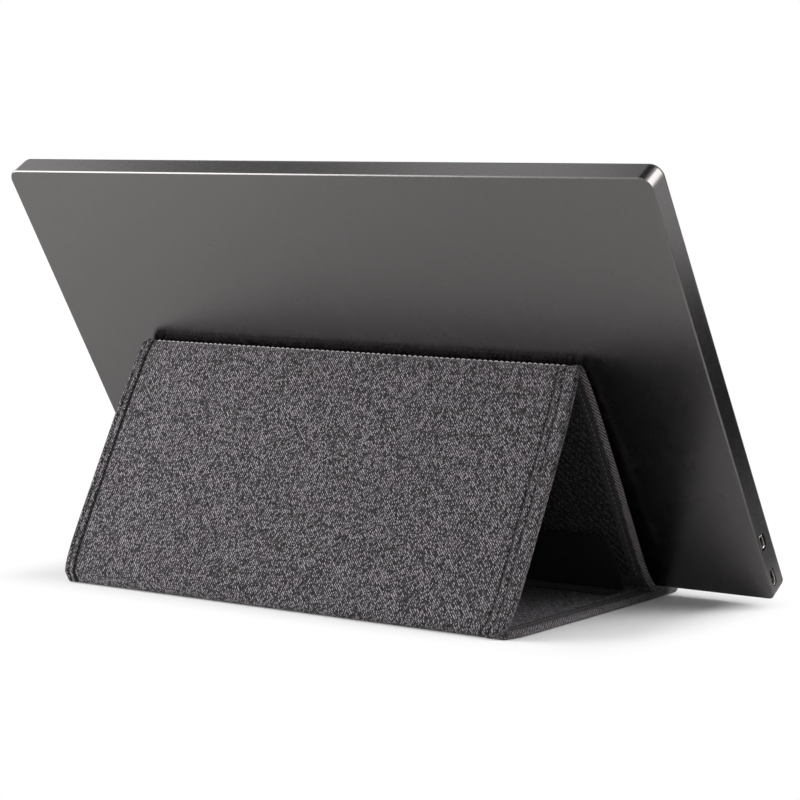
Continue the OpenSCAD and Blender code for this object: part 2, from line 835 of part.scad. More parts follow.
rear_housing();
front_frame();
lcd_glass();
optical_films();
light_guide();
light_bar();
lamps();
reflector_sheet();
backlight_tray();
screen_board();
support_plate();
main_board();
board_chips();
board_shield();
usb_c_socket();
usb_c_tongue();
micro_hdmi_socket();
micro_hdmi_tongue();
display_ribbon();
button_board();
button_ribbon();
button_switches();
power_button();
menu_button();
up_button();
down_button();
status_lamp_lens();
plate_screws();
board_screws();
base_outer_cloth();
base_outer_board();
base_lining();
base_inner_board();
base_inner_cloth();
base_hem();
lip_grip();
flap_strip();
rear_crease();
prop_outer_cloth();
prop_outer_board();
prop_lining();
prop_inner_board();
prop_inner_cloth();
prop_hems();
apex_crease();
apex_thread();
rest_outer_cloth();
rest_outer_board();
rest_lining();
rest_inner_board();
rest_inner_cloth();
rest_hem();
catch_plates();
flap_foot();
flap_cloth();
flap_core();
flap_magnets();
flap_lining();
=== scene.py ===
"""Looks of a slim portable screen that leans on its own folded cloth cover.

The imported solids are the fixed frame. The housing, sockets, buttons, cloth panels, folds, hems and
stitches are built here as surfaces of two parameters, and every finish is worked out from nodes.
"""

import json
import logging
import math
from dataclasses import dataclass, field, replace
from enum import Enum
from typing import Any, Callable, ClassVar, Optional, Sequence, Union

import bmesh
import bpy
import numpy as np
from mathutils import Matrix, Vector


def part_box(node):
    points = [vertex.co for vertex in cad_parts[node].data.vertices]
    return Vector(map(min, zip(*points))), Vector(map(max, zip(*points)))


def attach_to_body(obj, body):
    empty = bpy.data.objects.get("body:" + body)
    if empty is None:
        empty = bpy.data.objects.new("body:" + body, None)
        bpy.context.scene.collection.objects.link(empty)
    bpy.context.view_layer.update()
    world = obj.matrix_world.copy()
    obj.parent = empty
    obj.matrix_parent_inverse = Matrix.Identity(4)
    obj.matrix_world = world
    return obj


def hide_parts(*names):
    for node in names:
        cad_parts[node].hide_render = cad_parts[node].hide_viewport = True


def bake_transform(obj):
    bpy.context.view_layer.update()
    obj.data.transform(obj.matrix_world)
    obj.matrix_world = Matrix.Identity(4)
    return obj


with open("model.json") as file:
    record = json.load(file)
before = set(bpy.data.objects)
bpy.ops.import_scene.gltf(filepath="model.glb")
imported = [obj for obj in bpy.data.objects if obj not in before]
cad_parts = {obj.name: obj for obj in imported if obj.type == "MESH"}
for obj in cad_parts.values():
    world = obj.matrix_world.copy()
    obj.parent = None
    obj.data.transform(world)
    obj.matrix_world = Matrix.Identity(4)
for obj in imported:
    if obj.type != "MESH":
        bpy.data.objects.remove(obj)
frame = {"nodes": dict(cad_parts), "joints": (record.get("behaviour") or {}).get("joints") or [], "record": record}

LOG = logging.getLogger("portable_screen")
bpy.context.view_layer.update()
MM = 0.001
ACROSS = np.array([1.0, 0.0, 0.0])
WHITE = (1.0, 1.0, 1.0)
Number = Union[float, "Value"]
Relief = Callable[[np.ndarray, np.ndarray, "EdgeMap"], np.ndarray]
Shift = Callable[[np.ndarray], np.ndarray]


# ---------------------------------------------------------------- places read from the frame


def joint(name: str) -> dict:
    """The record of one joint.

    Args:
        name: the joint's name.

    Returns:
        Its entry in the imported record.
    """
    return next(j for j in frame["joints"] if j["name"] == name)


@dataclass(frozen=True)
class Axes:
    """A flat part's own axes: x across, s along it and n out of it, all in metres."""

    origin: np.ndarray
    along: np.ndarray
    out: np.ndarray

    def place(self, x: np.ndarray, s: np.ndarray, n: np.ndarray) -> np.ndarray:
        """Points of the frame at origin + x across + s along + n out.

        Args:
            x: distances across.
            s: distances along.
            n: distances outwards.

        Returns:
            An array one axis deeper, of points.
        """
        x, s, n = np.broadcast_arrays(x, s, n)
        return self.origin + x[..., None] * ACROSS + s[..., None] * self.along + n[..., None] * self.out


def slope(angle: float, turn: float = 0.0) -> np.ndarray:
    """The unit vector in the YZ plane at an angle above +Y, turned on by a right angle times turn."""
    a = angle + turn * math.pi / 2
    return np.array([0.0, math.cos(a), math.sin(a)])


class Layout:
    """The axes and main sizes of the model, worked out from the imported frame."""

    def __init__(self) -> None:
        """Reads the joints and the boxes of a few nodes."""
        lift = joint("screen_lift")["axis"]
        self.rear = np.array(joint("rear_fold")["pos_m"])
        self.apex = np.array(joint("apex_fold")["pos_m"])
        self.flap_foot = np.array(joint("flap_fold")["pos_m"])
        self.lean = math.atan2(lift[1], lift[2])
        self.pitch = float(np.linalg.norm(self.rear - self.apex))
        self.rise = math.asin((self.apex[2] - self.rear[2]) / self.pitch)
        front = np.array([self.rear[0], 2 * self.apex[1] - self.rear[1], self.rear[2]])
        low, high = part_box("rear_housing")
        hem_low, hem_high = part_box("base_hem")
        cloth_low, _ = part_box("base_outer_cloth")
        frame_low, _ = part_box("front_frame")
        step = FrontFrame.step * MM
        self.unit_w = high.x - low.x
        self.wall_t = -low.y / math.cos(self.lean)
        self.unit_t = (step * math.sin(self.lean) - frame_low.y) / math.cos(self.lean)
        self.half_w = (hem_high.x - hem_low.x) / 2
        self.hem_w = cloth_low.x - hem_low.x
        self.out_n = float(self.rear[2])
        self.in_n = self.out_n - (hem_high.z - hem_low.z)
        self.base_l = float(self.rear[1] - hem_low.y)
        chamfer = Housing.chamfer * MM
        seat = low.z - chamfer * math.sin(self.lean)
        back = slope(math.pi / 2 - self.lean)
        self.unit_h = (high.z - seat - self.wall_t * math.sin(self.lean)) / math.cos(self.lean)
        self.screen = Axes(np.array([0.0, 0.0, seat]), back, slope(math.pi / 2 - self.lean, 1))
        self.base = Axes(self.rear, np.array([0.0, -1.0, 0.0]), np.array([0.0, 0.0, -1.0]))
        self.prop = Axes(self.apex, slope(-self.rise), slope(-self.rise, 1))
        self.rest = Axes(front, slope(self.rise), slope(self.rise, 1))
        self.flap = Axes(self.flap_foot, slope(self.rise), slope(self.rise, 1))


# ---------------------------------------------------------------- curves of one value


def rising(values: np.ndarray, start: float, over: float) -> np.ndarray:
    """0 up to start, 1 from start plus over, and a straight rise between them."""
    return np.clip((values - start) / over, 0, 1)


def eased(share: np.ndarray) -> np.ndarray:
    """A share from 0 to 1 that starts and ends level."""
    return share * share * (3 - 2 * share)


def bell(values: np.ndarray, at: float, width: float) -> np.ndarray:
    """1 at a place and less on both sides of it."""
    return np.exp(-(((values - at) / width) ** 2))


def facing(azimuth: float, elevation: float) -> np.ndarray:
    """The unit vector towards an azimuth and elevation in degrees, seen from the target."""
    a, e = math.radians(azimuth), math.radians(elevation)
    return np.array([math.sin(a) * math.cos(e), -math.cos(a) * math.cos(e), math.sin(e)])


# ---------------------------------------------------------------- meshes


class Surface:
    """Quads gathered from grids of points, each vertex with its place in the cloth."""

    def __init__(self) -> None:
        """Starts with nothing in it."""
        self.points: list[np.ndarray] = []
        self.cloth: list[np.ndarray] = []
        self.marks: list[np.ndarray] = []
        self.quads: list[np.ndarray] = []
        self.caps: list[list[int]] = []
        self.slots: list[np.ndarray] = []
        self.count = 0

    def grid(
        self,
        points: np.ndarray,
        cloth: Optional[np.ndarray] = None,
        wrap: bool = False,
        slot: Union[int, np.ndarray] = 0,
        marks: Optional[np.ndarray] = None,
    ) -> np.ndarray:
        """Adds a grid of quads.

        Args:
            points: an array of rows, columns and x, y, z.
            cloth: an array of rows, columns and u, v, in metres along the cloth.
            wrap: whether the last column joins the first.
            slot: the material slot, as one number or one per quad.
            marks: an array of rows, columns and how much painted shade and how corded the cloth is there, from 0
                to 1.

        Returns:
            The vertex numbers, in rows and columns.
        """
        rows, columns = points.shape[:2]
        numbers = np.arange(rows * columns).reshape(rows, columns) + self.count
        self.count += rows * columns
        self.points.append(points.reshape(-1, 3))
        for layer, values in ((self.cloth, cloth), (self.marks, marks)):
            layer.append(np.zeros((rows * columns, 2)) if values is None else values.reshape(-1, 2))
        ring = np.concatenate([numbers, numbers[:, :1]], 1) if wrap else numbers
        quads = np.stack([ring[:-1, :-1], ring[:-1, 1:], ring[1:, 1:], ring[1:, :-1]], -1).reshape(-1, 4)
        self.quads.append(quads)
        self.slots.append(np.broadcast_to(np.asarray(slot, int).ravel(), (len(quads),)))
        return numbers

    def cap(self, numbers: Sequence[int]) -> None:
        """Closes a ring of vertices with one flat face."""
        self.caps.append([int(i) for i in numbers])

    def tube(self, rings: Sequence[np.ndarray]) -> None:
        """Adds a tube with a flat face at both ends.

        Args:
            rings: arrays of as many points each.
        """
        numbers = self.grid(np.stack(rings), wrap=True)
        self.cap(numbers[0][::-1])
        self.cap(numbers[-1])

    def build(
        self,
        name: str,
        materials: Sequence[bpy.types.Material],
        weld: float = 1e-6,
        sharp: Optional[float] = None,
    ) -> bpy.types.Object:
        """Makes the object, with its seams welded and its faces turned outwards.

        Args:
            name: the piece's name.
            materials: its materials, in slot order.
            weld: the distance within which vertices become one.
            sharp: the angle in degrees past which an edge stays sharp, or None for all smooth.

        Returns:
            The new object, at the origin.
        """
        mesh = bpy.data.meshes.new(name)
        faces = np.concatenate(self.quads).tolist() + self.caps
        mesh.from_pydata(np.concatenate(self.points).tolist(), [], faces)
        slots = np.concatenate([*self.slots, np.zeros(len(self.caps), int)])
        mesh.polygons.foreach_set("material_index", slots.astype(np.int32))
        corner = np.zeros(len(mesh.loops), np.int32)
        mesh.loops.foreach_get("vertex_index", corner)
        for name_of, values in (("cloth", self.cloth), ("marks", self.marks)):
            layer = mesh.uv_layers.new(name=name_of)
            layer.data.foreach_set("uv", np.concatenate(values)[corner].astype(np.float32).ravel())
        work = bmesh.new()
        work.from_mesh(mesh)
        bmesh.ops.remove_doubles(work, verts=work.verts, dist=weld)
        bmesh.ops.dissolve_degenerate(work, edges=work.edges, dist=weld / 10)
        bmesh.ops.recalc_face_normals(work, faces=work.faces)
        work.to_mesh(mesh)
        work.free()
        return finish_mesh(mesh, name, materials, sharp)


def finish_mesh(
    mesh: bpy.types.Mesh, name: str, materials: Sequence[bpy.types.Material], sharp: Optional[float]
) -> bpy.types.Object:
    """Puts a mesh in the scene, smooth shaded.

    Args:
        mesh: the mesh.
        name: the piece's name.
        materials: its materials, in slot order.
        sharp: the angle in degrees past which an edge stays sharp, or None.

    Returns:
        The new object.
    """
    mesh.polygons.foreach_set("use_smooth", np.ones(len(mesh.polygons), bool))
    if sharp is not None:
        mesh.set_sharp_from_angle(angle=math.radians(sharp))
    for material in materials:
        mesh.materials.append(material)
    mesh.update()
    piece = bpy.data.objects.new(name, mesh)
    bpy.context.scene.collection.objects.link(piece)
    return piece


def attach(piece: bpy.types.Object, body: str, slot: str, *nodes: str) -> bpy.types.Object:
    """Hangs a piece on a body, and hides the nodes that it stands for.

    Args:
        piece: the piece.
        body: the body that it rides on.
        slot: the record's material slot; not used.
        nodes: the nodes that it replaces.

    Returns:
        The piece.
    """
    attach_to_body(piece, body)
    if nodes:
        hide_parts(*nodes)
    LOG.info("%s rides on %s", piece.name, body)
    return piece


@dataclass(frozen=True)
class Outline:
    """A convex outline with rounded corners, run anticlockwise."""

    corners: tuple[tuple[float, float], ...]
    radii: tuple[float, ...]
    steps: int = 12

    def ring(self, inset: float, least: float = 0.02 * MM) -> np.ndarray:
        """Points of the outline pushed inwards.

        Every corner is an arc between the outward directions of its two edges. Its centre lies on the
        corner's bisector, radius plus inset away from both edges.

        Args:
            inset: how far inwards, in metres.
            least: the smallest corner radius that is left.

        Returns:
            An array of points, steps for each corner.
        """
        at = np.array(self.corners)
        edge = np.roll(at, -1, 0) - at
        edge /= np.linalg.norm(edge, axis=1)[:, None]
        outward = np.stack([edge[:, 1], -edge[:, 0]], 1)
        before = np.roll(outward, 1, 0)
        bisector = -(before + outward) / (1 + (before * outward).sum(1))[:, None]
        radius = np.maximum(np.array(self.radii) - inset, least)
        centre = at + (inset + radius)[:, None] * bisector
        start = np.arctan2(before[:, 1], before[:, 0])
        turn = (np.arctan2(outward[:, 1], outward[:, 0]) - start) % (2 * math.pi)
        angle = start[:, None] + turn[:, None] * np.linspace(0, 1, self.steps)
        arc = np.stack([np.cos(angle), np.sin(angle)], -1) * radius[:, None, None]
        return (centre[:, None] + arc).reshape(-1, 2)


def rectangle(width: float, low: float, high: float, *radii: float, steps: int = 12) -> Outline:
    """A rectangle about x = 0 from low to high, with one radius or four from the lower left corner."""
    w = width / 2
    radii = radii if len(radii) == 4 else radii * 4
    return Outline(((-w, low), (w, low), (w, high), (-w, high)), radii, steps)


def arc_profile(
    inset: float, depth: float, radius: float, start: float, stop: float, steps: int = 5
) -> list[tuple[float, float]]:
    """Pairs of inset and depth round a small arc.

    Args:
        inset: the arc centre's inset.
        depth: the arc centre's depth.
        radius: the arc's radius.
        start: the first angle in degrees, from the inset axis towards the depth axis.
        stop: the last angle in degrees.
        steps: the number of points.

    Returns:
        The pairs in order.
    """
    angle = np.radians(np.linspace(start, stop, steps))
    return [(inset + radius * math.cos(a), depth + radius * math.sin(a)) for a in angle]


def rings_round(axes: Axes, outline: Outline, profile: Sequence[tuple[float, float]]) -> list[np.ndarray]:
    """A profile carried round an outline, as rings of points.

    Args:
        axes: the outline lies along their x and s, and depth is their n.
        outline: the outline.
        profile: pairs of inset and depth, in millimetres.

    Returns:
        One ring for each pair: the outline at that inset and depth.
    """
    rings = [(outline.ring(inset * MM), depth * MM) for inset, depth in profile]
    return [axes.place(ring[:, 0], ring[:, 1], depth) for ring, depth in rings]


# ---------------------------------------------------------------- cloth panels


@dataclass(frozen=True)
class EdgeMap:
    """How far each point of a panel's grid lies from its edges, in metres."""

    left: np.ndarray
    right: np.ndarray
    near: np.ndarray
    run: np.ndarray


@dataclass(frozen=True)
class Waist:
    """How far a panel's sides draw in towards its folded ends: a sum of fading exponentials.

    Each of near, slow, foot and splay is a depth and the distance over which it fades.
    """

    start: Optional[float]
    end: Optional[float]
    near: tuple[float, float] = (1.6 * MM, 14 * MM)
    slow: tuple[float, float] = (0.8 * MM, 40 * MM)
    foot: tuple[float, float] = (2.4 * MM, 6 * MM)
    splay_at: Optional[float] = None
    splay: tuple[float, float] = (3.5 * MM, 5 * MM)

    def follow(self, start: float, x: float) -> Shift:
        """How far a row of stitches moves along X to stay beside its edge: the side's pull, inwards."""
        inwards = -math.copysign(1.0, x)
        return lambda distance: inwards * self.pull(distance + start)

    def pull(self, s: np.ndarray) -> np.ndarray:
        """The distance drawn in at a place along the panel.

        Args:
            s: places along the panel, in metres.

        Returns:
            How far each side stands in from the panel's full width.
        """
        made = np.zeros_like(s)
        if self.start is not None:
            for depth, fade in (self.near, self.slow):
                made = made + depth * np.exp(-np.abs(s - self.start) / fade)
        if self.end is not None:
            made = made + self.foot[0] * np.exp(-np.abs(self.end - s) / self.foot[1])
        if self.splay_at is not None:
            made = made - self.splay[0] * np.exp(-np.abs(s - self.splay_at) / self.splay[1])
        return made


@dataclass(frozen=True)
class Pad:
    """A flat padded body: a grid over a rectangle, with rounded free edges and rounded corners.

    The outer and the inner face are heights over the same grid. They meet at the free edges, where the
    height falls off as a quarter circle. In a rounded corner the grid's squares become rings of a disc.
    Where marks are given, the cloth that is turned in on the inner face gets painted shade.
    """

    axes: Axes
    half_w: float
    start: float
    end: float
    inner: float
    outer: float
    round_start: bool = True
    round_end: bool = True
    corner: float = 4 * MM
    fine: float = 0.4 * MM
    fine_band: float = 12 * MM
    coarse: float = 3 * MM
    row: float = 0.8 * MM
    waist: Optional[Waist] = None
    edge_turns: tuple[float, ...] = (0, 12, 25, 40, 55, 72, 90)
    # beyond the rolled edge, the turned-in cloth on the inner face gets painted shade
    turned_from: float = 1.8 * MM
    turned_over: float = 0.8 * MM
    turned_painted_shade: float = 0.8

    @property
    def half_t(self) -> float:
        """Half the thickness."""
        return (self.outer - self.inner) / 2

    def _edge_steps(self) -> np.ndarray:
        """Distances from a free edge: round the edge first, then evenly through the fine band."""
        turn = np.radians(self.edge_turns)
        band = np.arange(self.half_t + self.fine, self.fine_band, self.fine)
        return np.concatenate([self.half_t * (1 - np.cos(turn)), band])

    def _lines(self, low: float, high: float, free_low: bool, free_high: bool, step: float) -> np.ndarray:
        """The grid's lines from low to high, gathered at the free ends."""
        steps = self._edge_steps()
        first = low + (steps if free_low else np.array([0.0]))
        last = high - (steps[::-1] if free_high else np.array([0.0]))
        count = max(2, int(round((last[0] - first[-1]) / step)) + 1)
        middle = np.linspace(first[-1], last[0], count)[1:-1]
        return np.concatenate([first, middle, last])

    def grid(self) -> tuple[np.ndarray, np.ndarray, EdgeMap]:
        """The grid's places and their distances from the edges.

        Returns:
            x and s after the corners are rounded, and the edge map.
        """
        columns = self._lines(-self.half_w, self.half_w, True, True, self.coarse)
        rows = self._lines(self.start, self.end, self.round_start, self.round_end, self.row)
        s, x = np.meshgrid(rows, columns, indexing="ij")
        far = np.full_like(x, 1.0)
        to_start = s - self.start if self.round_start else far
        to_end = self.end - s if self.round_end else far
        side = self.half_w - np.abs(x)
        along = np.minimum(to_start, to_end)
        a, b = self.corner - side, self.corner - along
        inside = (a > 0) & (b > 0)
        reach, length = np.maximum(a, b), np.maximum(np.hypot(a, b), 1e-12)
        moved_a, moved_b = reach * a / length, reach * b / length
        toward = np.where(to_start < to_end, -1.0, 1.0)
        new_x = np.where(inside, x + np.sign(x) * (moved_a - a), x)
        new_s = np.where(inside, s + toward * (moved_b - b), s)
        run = np.where(side < along, s, x)
        if self.waist is not None:
            new_x = new_x * (1 - self.waist.pull(new_s) / self.half_w)
        return new_x, new_s, EdgeMap(x + self.half_w, self.half_w - x, np.minimum(side, along), run)

    def fall(self, near: np.ndarray) -> np.ndarray:
        """The quarter circle by which the height falls towards a free edge."""
        return np.sqrt(np.clip(1 - (1 - rising(near, 0, self.half_t)) ** 2, 0, 1))

    def cloth_across(self, x: np.ndarray, edges: EdgeMap) -> tuple[np.ndarray, np.ndarray]:
        """The cloth's own width at each place: x plus the way down the edge, and on round it underneath.

        Args:
            x: places across the panel.
            edges: their edge map.

        Returns:
            The width at the outer face and at the inner face.
        """
        drop = (1 - self.fall(edges.near)) * self.half_t
        out = x + np.sign(x) * drop
        return out, np.sign(x) * (2 * self.half_w + 2 * self.half_t - drop) - x

    def heights(self, relief_out: Relief, relief_in: Relief) -> tuple[np.ndarray, ...]:
        """x, s and the outer and inner heights, with the edge map.

        Args:
            relief_out: what is added to the outer face.
            relief_in: what the inner face stands further in.

        Returns:
            x, s, outer height, inner height and the edge map.
        """
        x, s, edges = self.grid()
        middle, fall = (self.outer + self.inner) / 2, self.fall(edges.near)
        outer = middle + fall * (self.half_t + relief_out(x, s, edges))
        inner = middle - fall * (self.half_t + relief_in(x, s, edges))
        return x, s, outer, inner, edges

    def skin(
        self,
        surface: Surface,
        relief_out: Relief,
        relief_in: Relief,
        v_start: float = 0.0,
        v_sign: float = 1.0,
        marks: Optional[Callable[[EdgeMap], np.ndarray]] = None,
    ) -> None:
        """Adds both faces to a surface, closed all round.

        Args:
            surface: the surface that takes them.
            relief_out: what is added to the outer face.
            relief_in: what the inner face stands further in.
            v_start: the cloth's own length at the panel's start.
            v_sign: 1 where that length grows along the panel, -1 where it falls.
            marks: how much painted shade and how corded the cloth is at each place of the outer face.
        """
        x, s, outer, inner, edges = self.heights(relief_out, relief_in)
        top, under = self.axes.place(x, s, outer), self.axes.place(x, s, inner)
        v = v_start + v_sign * (s - self.start)
        u_out, u_in = self.cloth_across(x, edges)
        outer_marks = inner_marks = None
        if marks is not None:
            outer_marks = marks(edges)
            # painted shade on the turned-in cloth of the inner face, beyond the rolled edge
            turned = self.turned_painted_shade * rising(edges.near, self.turned_from, self.turned_over)
            inner_marks = np.stack([turned, outer_marks[..., 1]], -1)[:, ::-1]
        upper = surface.grid(top, np.stack([u_out, v], -1), marks=outer_marks)
        lower = surface.grid(under[:, ::-1], np.stack([u_in, v], -1)[:, ::-1], marks=inner_marks)
        for free, row in ((self.round_start, 0), (self.round_end, -1)):
            if not free:
                surface.cap(list(upper[row]) + list(lower[row]))


def no_relief(x: np.ndarray, s: np.ndarray, edges: EdgeMap) -> np.ndarray:
    """Nothing is added."""
    return np.zeros_like(x)


@dataclass(frozen=True)
class Seam:
    """The pair of sewn lines beside an edge, pulled in at each stitch, with a soft ridge between them, and painted
    shade along both grooves.

    The rolled edge is corded: its ribs reach from the edge to cord, and fade over the last cord_fade.
    """

    left: tuple[float, float] = (3.3 * MM, 7.0 * MM)
    right: tuple[float, float] = (6.3 * MM, 10.2 * MM)
    left_pull: tuple[float, float] = (0.7, 1.1)
    right_pull: tuple[float, float] = (0.6, 0.85)
    depth: float = 0.9 * MM
    width: float = 0.6 * MM
    ridge: float = 0.25 * MM
    pillow: float = 0.15 * MM
    stitch: float = 3.0 * MM
    gather: float = 0.25
    # the width of the painted shade along each sewn line
    sunk: float = 0.68 * MM
    cord: float = 2.0 * MM
    cord_fade: float = 0.6 * MM
    cording: float = 1.0

    def groove(self, distance: np.ndarray, at: float, run: np.ndarray) -> np.ndarray:
        """A groove that is deepest where the thread goes in: a bell across, a cosine along."""
        pull = 1 - self.gather + self.gather * np.cos(2 * math.pi * run / self.stitch)
        return -self.depth * pull * bell(distance, at, self.width)

    def side(
        self, distance: np.ndarray, lines: tuple[float, float], pulls: tuple[float, float], run: np.ndarray
    ) -> np.ndarray:
        """Both grooves of one side, each with its share of the full depth, and the ridge between them."""
        middle, half = sum(lines) / 2, (lines[1] - lines[0]) / 2
        ridge = np.clip(1 - ((distance - middle) / half) ** 2, 0, None)
        hem = np.clip(1 - ((distance - lines[0] / 2) / (lines[0] / 2)) ** 2, 0, None)
        made = self.ridge * pulls[1] * ridge + self.pillow * hem
        for line, pull in zip(lines, pulls):
            made = made + pull * self.groove(distance, line, run)
        return made

    def marks(self, edges: EdgeMap) -> np.ndarray:
        """How much painted shade and how corded the cloth is: bells of painted shade at the sewn lines, and the
        rolled edge.
        """
        near_left = edges.left < edges.right
        sunk = np.zeros_like(edges.near)
        sides = ((self.right, self.right_pull, near_left), (self.left, self.left_pull, ~near_left))
        for lines, pulls, here in sides:
            for line, pull in zip(lines, pulls):
                # painted shade in the groove of each sewn line, stronger for the deeper groove
                dark = bell(edges.near, line, self.sunk * pull) * pull
                sunk = np.maximum(sunk, np.where(here, dark, 0))
        cord = self.cording * np.clip((self.cord - edges.near) / self.cord_fade, 0, 1)
        return np.stack([sunk, cord], -1)


@dataclass(frozen=True)
class Ripple:
    """The slight unevenness of stretched cloth: a few sines, which fade out at the panel's ends."""

    start: float
    end: float
    height: float = 0.09 * MM
    seed: int = 3
    waves: tuple[float, ...] = (55 * MM, 34 * MM, 21 * MM, 13 * MM)
    oblong: float = 1.7
    fade: float = 10 * MM

    def relief(self, x: np.ndarray, s: np.ndarray, edges: EdgeMap) -> np.ndarray:
        """The height at each place. The edges do not change it."""
        rng = np.random.default_rng(self.seed)
        made = np.zeros_like(x)
        for wave in self.waves:
            angle, phase = rng.uniform(0, math.pi), rng.uniform(0, 2 * math.pi, 2)
            run = (x * math.cos(angle) + s * math.sin(angle)) * 2 * math.pi / wave
            other = (x * math.sin(angle) - s * math.cos(angle)) * 2 * math.pi / (wave * self.oblong)
            made += np.sin(run + phase[0]) * np.sin(other + phase[1]) * wave / self.waves[0]
        from_end = np.minimum(s - self.start, self.end - s)
        return self.height * made * eased(rising(from_end, 0, self.fade))


# ---------------------------------------------------------------- stitches


@dataclass(frozen=True)
class Thread:
    """A row of stitches: each is a short thread that rises out of the cloth and goes back in.

    Stray is how far a stitch strays along its row, and lean how far it turns aside. Both are deviations of
    random draws, in metres and as a slope.
    """

    pitch: float = 2.95 * MM
    length: float = 2.1 * MM
    radius: float = 0.24 * MM
    rise: float = 0.3 * MM
    sink: float = 0.25 * MM
    round_steps: int = 8
    along_steps: int = 9
    stray: float = 0.05 * MM
    lean: float = 0.07

    def row(
        self,
        surface: Surface,
        start: np.ndarray,
        stop: np.ndarray,
        up: np.ndarray,
        seed: int = 1,
        shift: Optional[Shift] = None,
    ) -> None:
        """Adds the stitches of a straight row.

        A stitch's middle line is start + t along, raised by rise times (1 - t squared) less sink, and its
        radius is the fourth root of 1 - t to the fourth, so that both ends close.

        Args:
            surface: the surface that takes them.
            start: the row's first point.
            stop: its last point.
            up: the direction out of the cloth.
            seed: the seed for the small differences between stitches.
            shift: how far along X a stitch moves, from its distance along the row.
        """
        way = stop - start
        total = float(np.linalg.norm(way))
        way = way / total
        up = up / np.linalg.norm(up)
        side = np.cross(way, up)
        count = int(total / self.pitch)
        rng = np.random.default_rng(seed)
        centre = (np.arange(count) + 0.5) * total / count + rng.normal(0, self.stray, count)
        lean = rng.normal(0, self.lean, count)[:, None, None]
        t = np.linspace(-1, 1, self.along_steps)[None, :, None]
        angle = np.linspace(0, 2 * math.pi, self.round_steps, endpoint=False)[None, None, :]
        moved = np.zeros(count) if shift is None else shift(centre)
        radius = self.radius * np.clip(1 - t**4, 1e-4, 1) ** 0.25
        along = centre[:, None, None] + t * self.length / 2 + 0 * angle
        height = (self.rise + self.radius) * (1 - t * t) - self.sink + radius * np.sin(angle)
        across = radius * np.cos(angle) + lean * t * self.length / 2
        turn = np.broadcast_to(angle[0] * self.radius, along[0].shape)
        for k in range(count):
            points = start + moved[k] * ACROSS + along[k][..., None] * way
            points = points + height[0][..., None] * up + across[k][..., None] * side
            surface.grid(points, np.stack([along[k], turn], -1), wrap=True)


# ---------------------------------------------------------------- shader arithmetic


class Value:
    """A shader socket that can be used in sums and products."""

    def __init__(self, nodes: "Nodes", socket: bpy.types.NodeSocket) -> None:
        """Keeps the socket and the tree that it is in."""
        self.nodes = nodes
        self.socket = socket

    def math(self, operation: str, *others: Number) -> "Value":
        """One Math node on this value and others.

        Args:
            operation: the Math node's operation.
            others: the further inputs.

        Returns:
            The result.
        """
        inputs = {i: value for i, value in enumerate((self, *others))}
        return self.nodes.add("ShaderNodeMath", {"operation": operation}, inputs)

    def __add__(self, other: Number) -> "Value":
        """Sum."""
        return self.math("ADD", other)

    def __sub__(self, other: Number) -> "Value":
        """Difference."""
        return self.math("SUBTRACT", other)

    def __rsub__(self, other: float) -> "Value":
        """A number less this value."""
        return self.nodes.add("ShaderNodeMath", {"operation": "SUBTRACT"}, {0: other, 1: self})

    def other(self, name: Union[int, str]) -> "Value":
        """Another output of the same node."""
        return Value(self.nodes, self.socket.node.outputs[name])

    def __mul__(self, other: Number) -> "Value":
        """Product."""
        return self.math("MULTIPLY", other)

    def __truediv__(self, other: Number) -> "Value":
        """Quotient."""
        return self.math("DIVIDE", other)

    def __pow__(self, other: Number) -> "Value":
        """Power."""
        return self.math("POWER", other)

    __radd__ = __add__
    __rmul__ = __mul__

    def clamp(self) -> "Value":
        """The value held between 0 and 1."""
        return self.nodes.add("ShaderNodeClamp", {}, {0: self})

    def wave(self, length: float) -> "Value":
        """A sine from -1 to 1 that repeats after a length."""
        return (self * (2 * math.pi / length)).math("SINE")

    def arch(self, power: float) -> "Value":
        """0 where this share is 0 or 1, and 1 where it is a half."""
        return (self * (1.0 - self) * 4.0) ** power

    def thirds(self) -> "Value":
        """The whole number of times that three goes into this value."""
        return (self / 3.0).math("FLOOR")

    def above(self, edge: float, soft: float) -> "Value":
        """0 below edge and 1 above it, with a soft step of that width."""
        return self.nodes.add(
            "ShaderNodeMapRange",
            {"interpolation_type": "SMOOTHSTEP"},
            {"Value": self, "From Min": edge - soft / 2, "From Max": edge + soft / 2},
        )


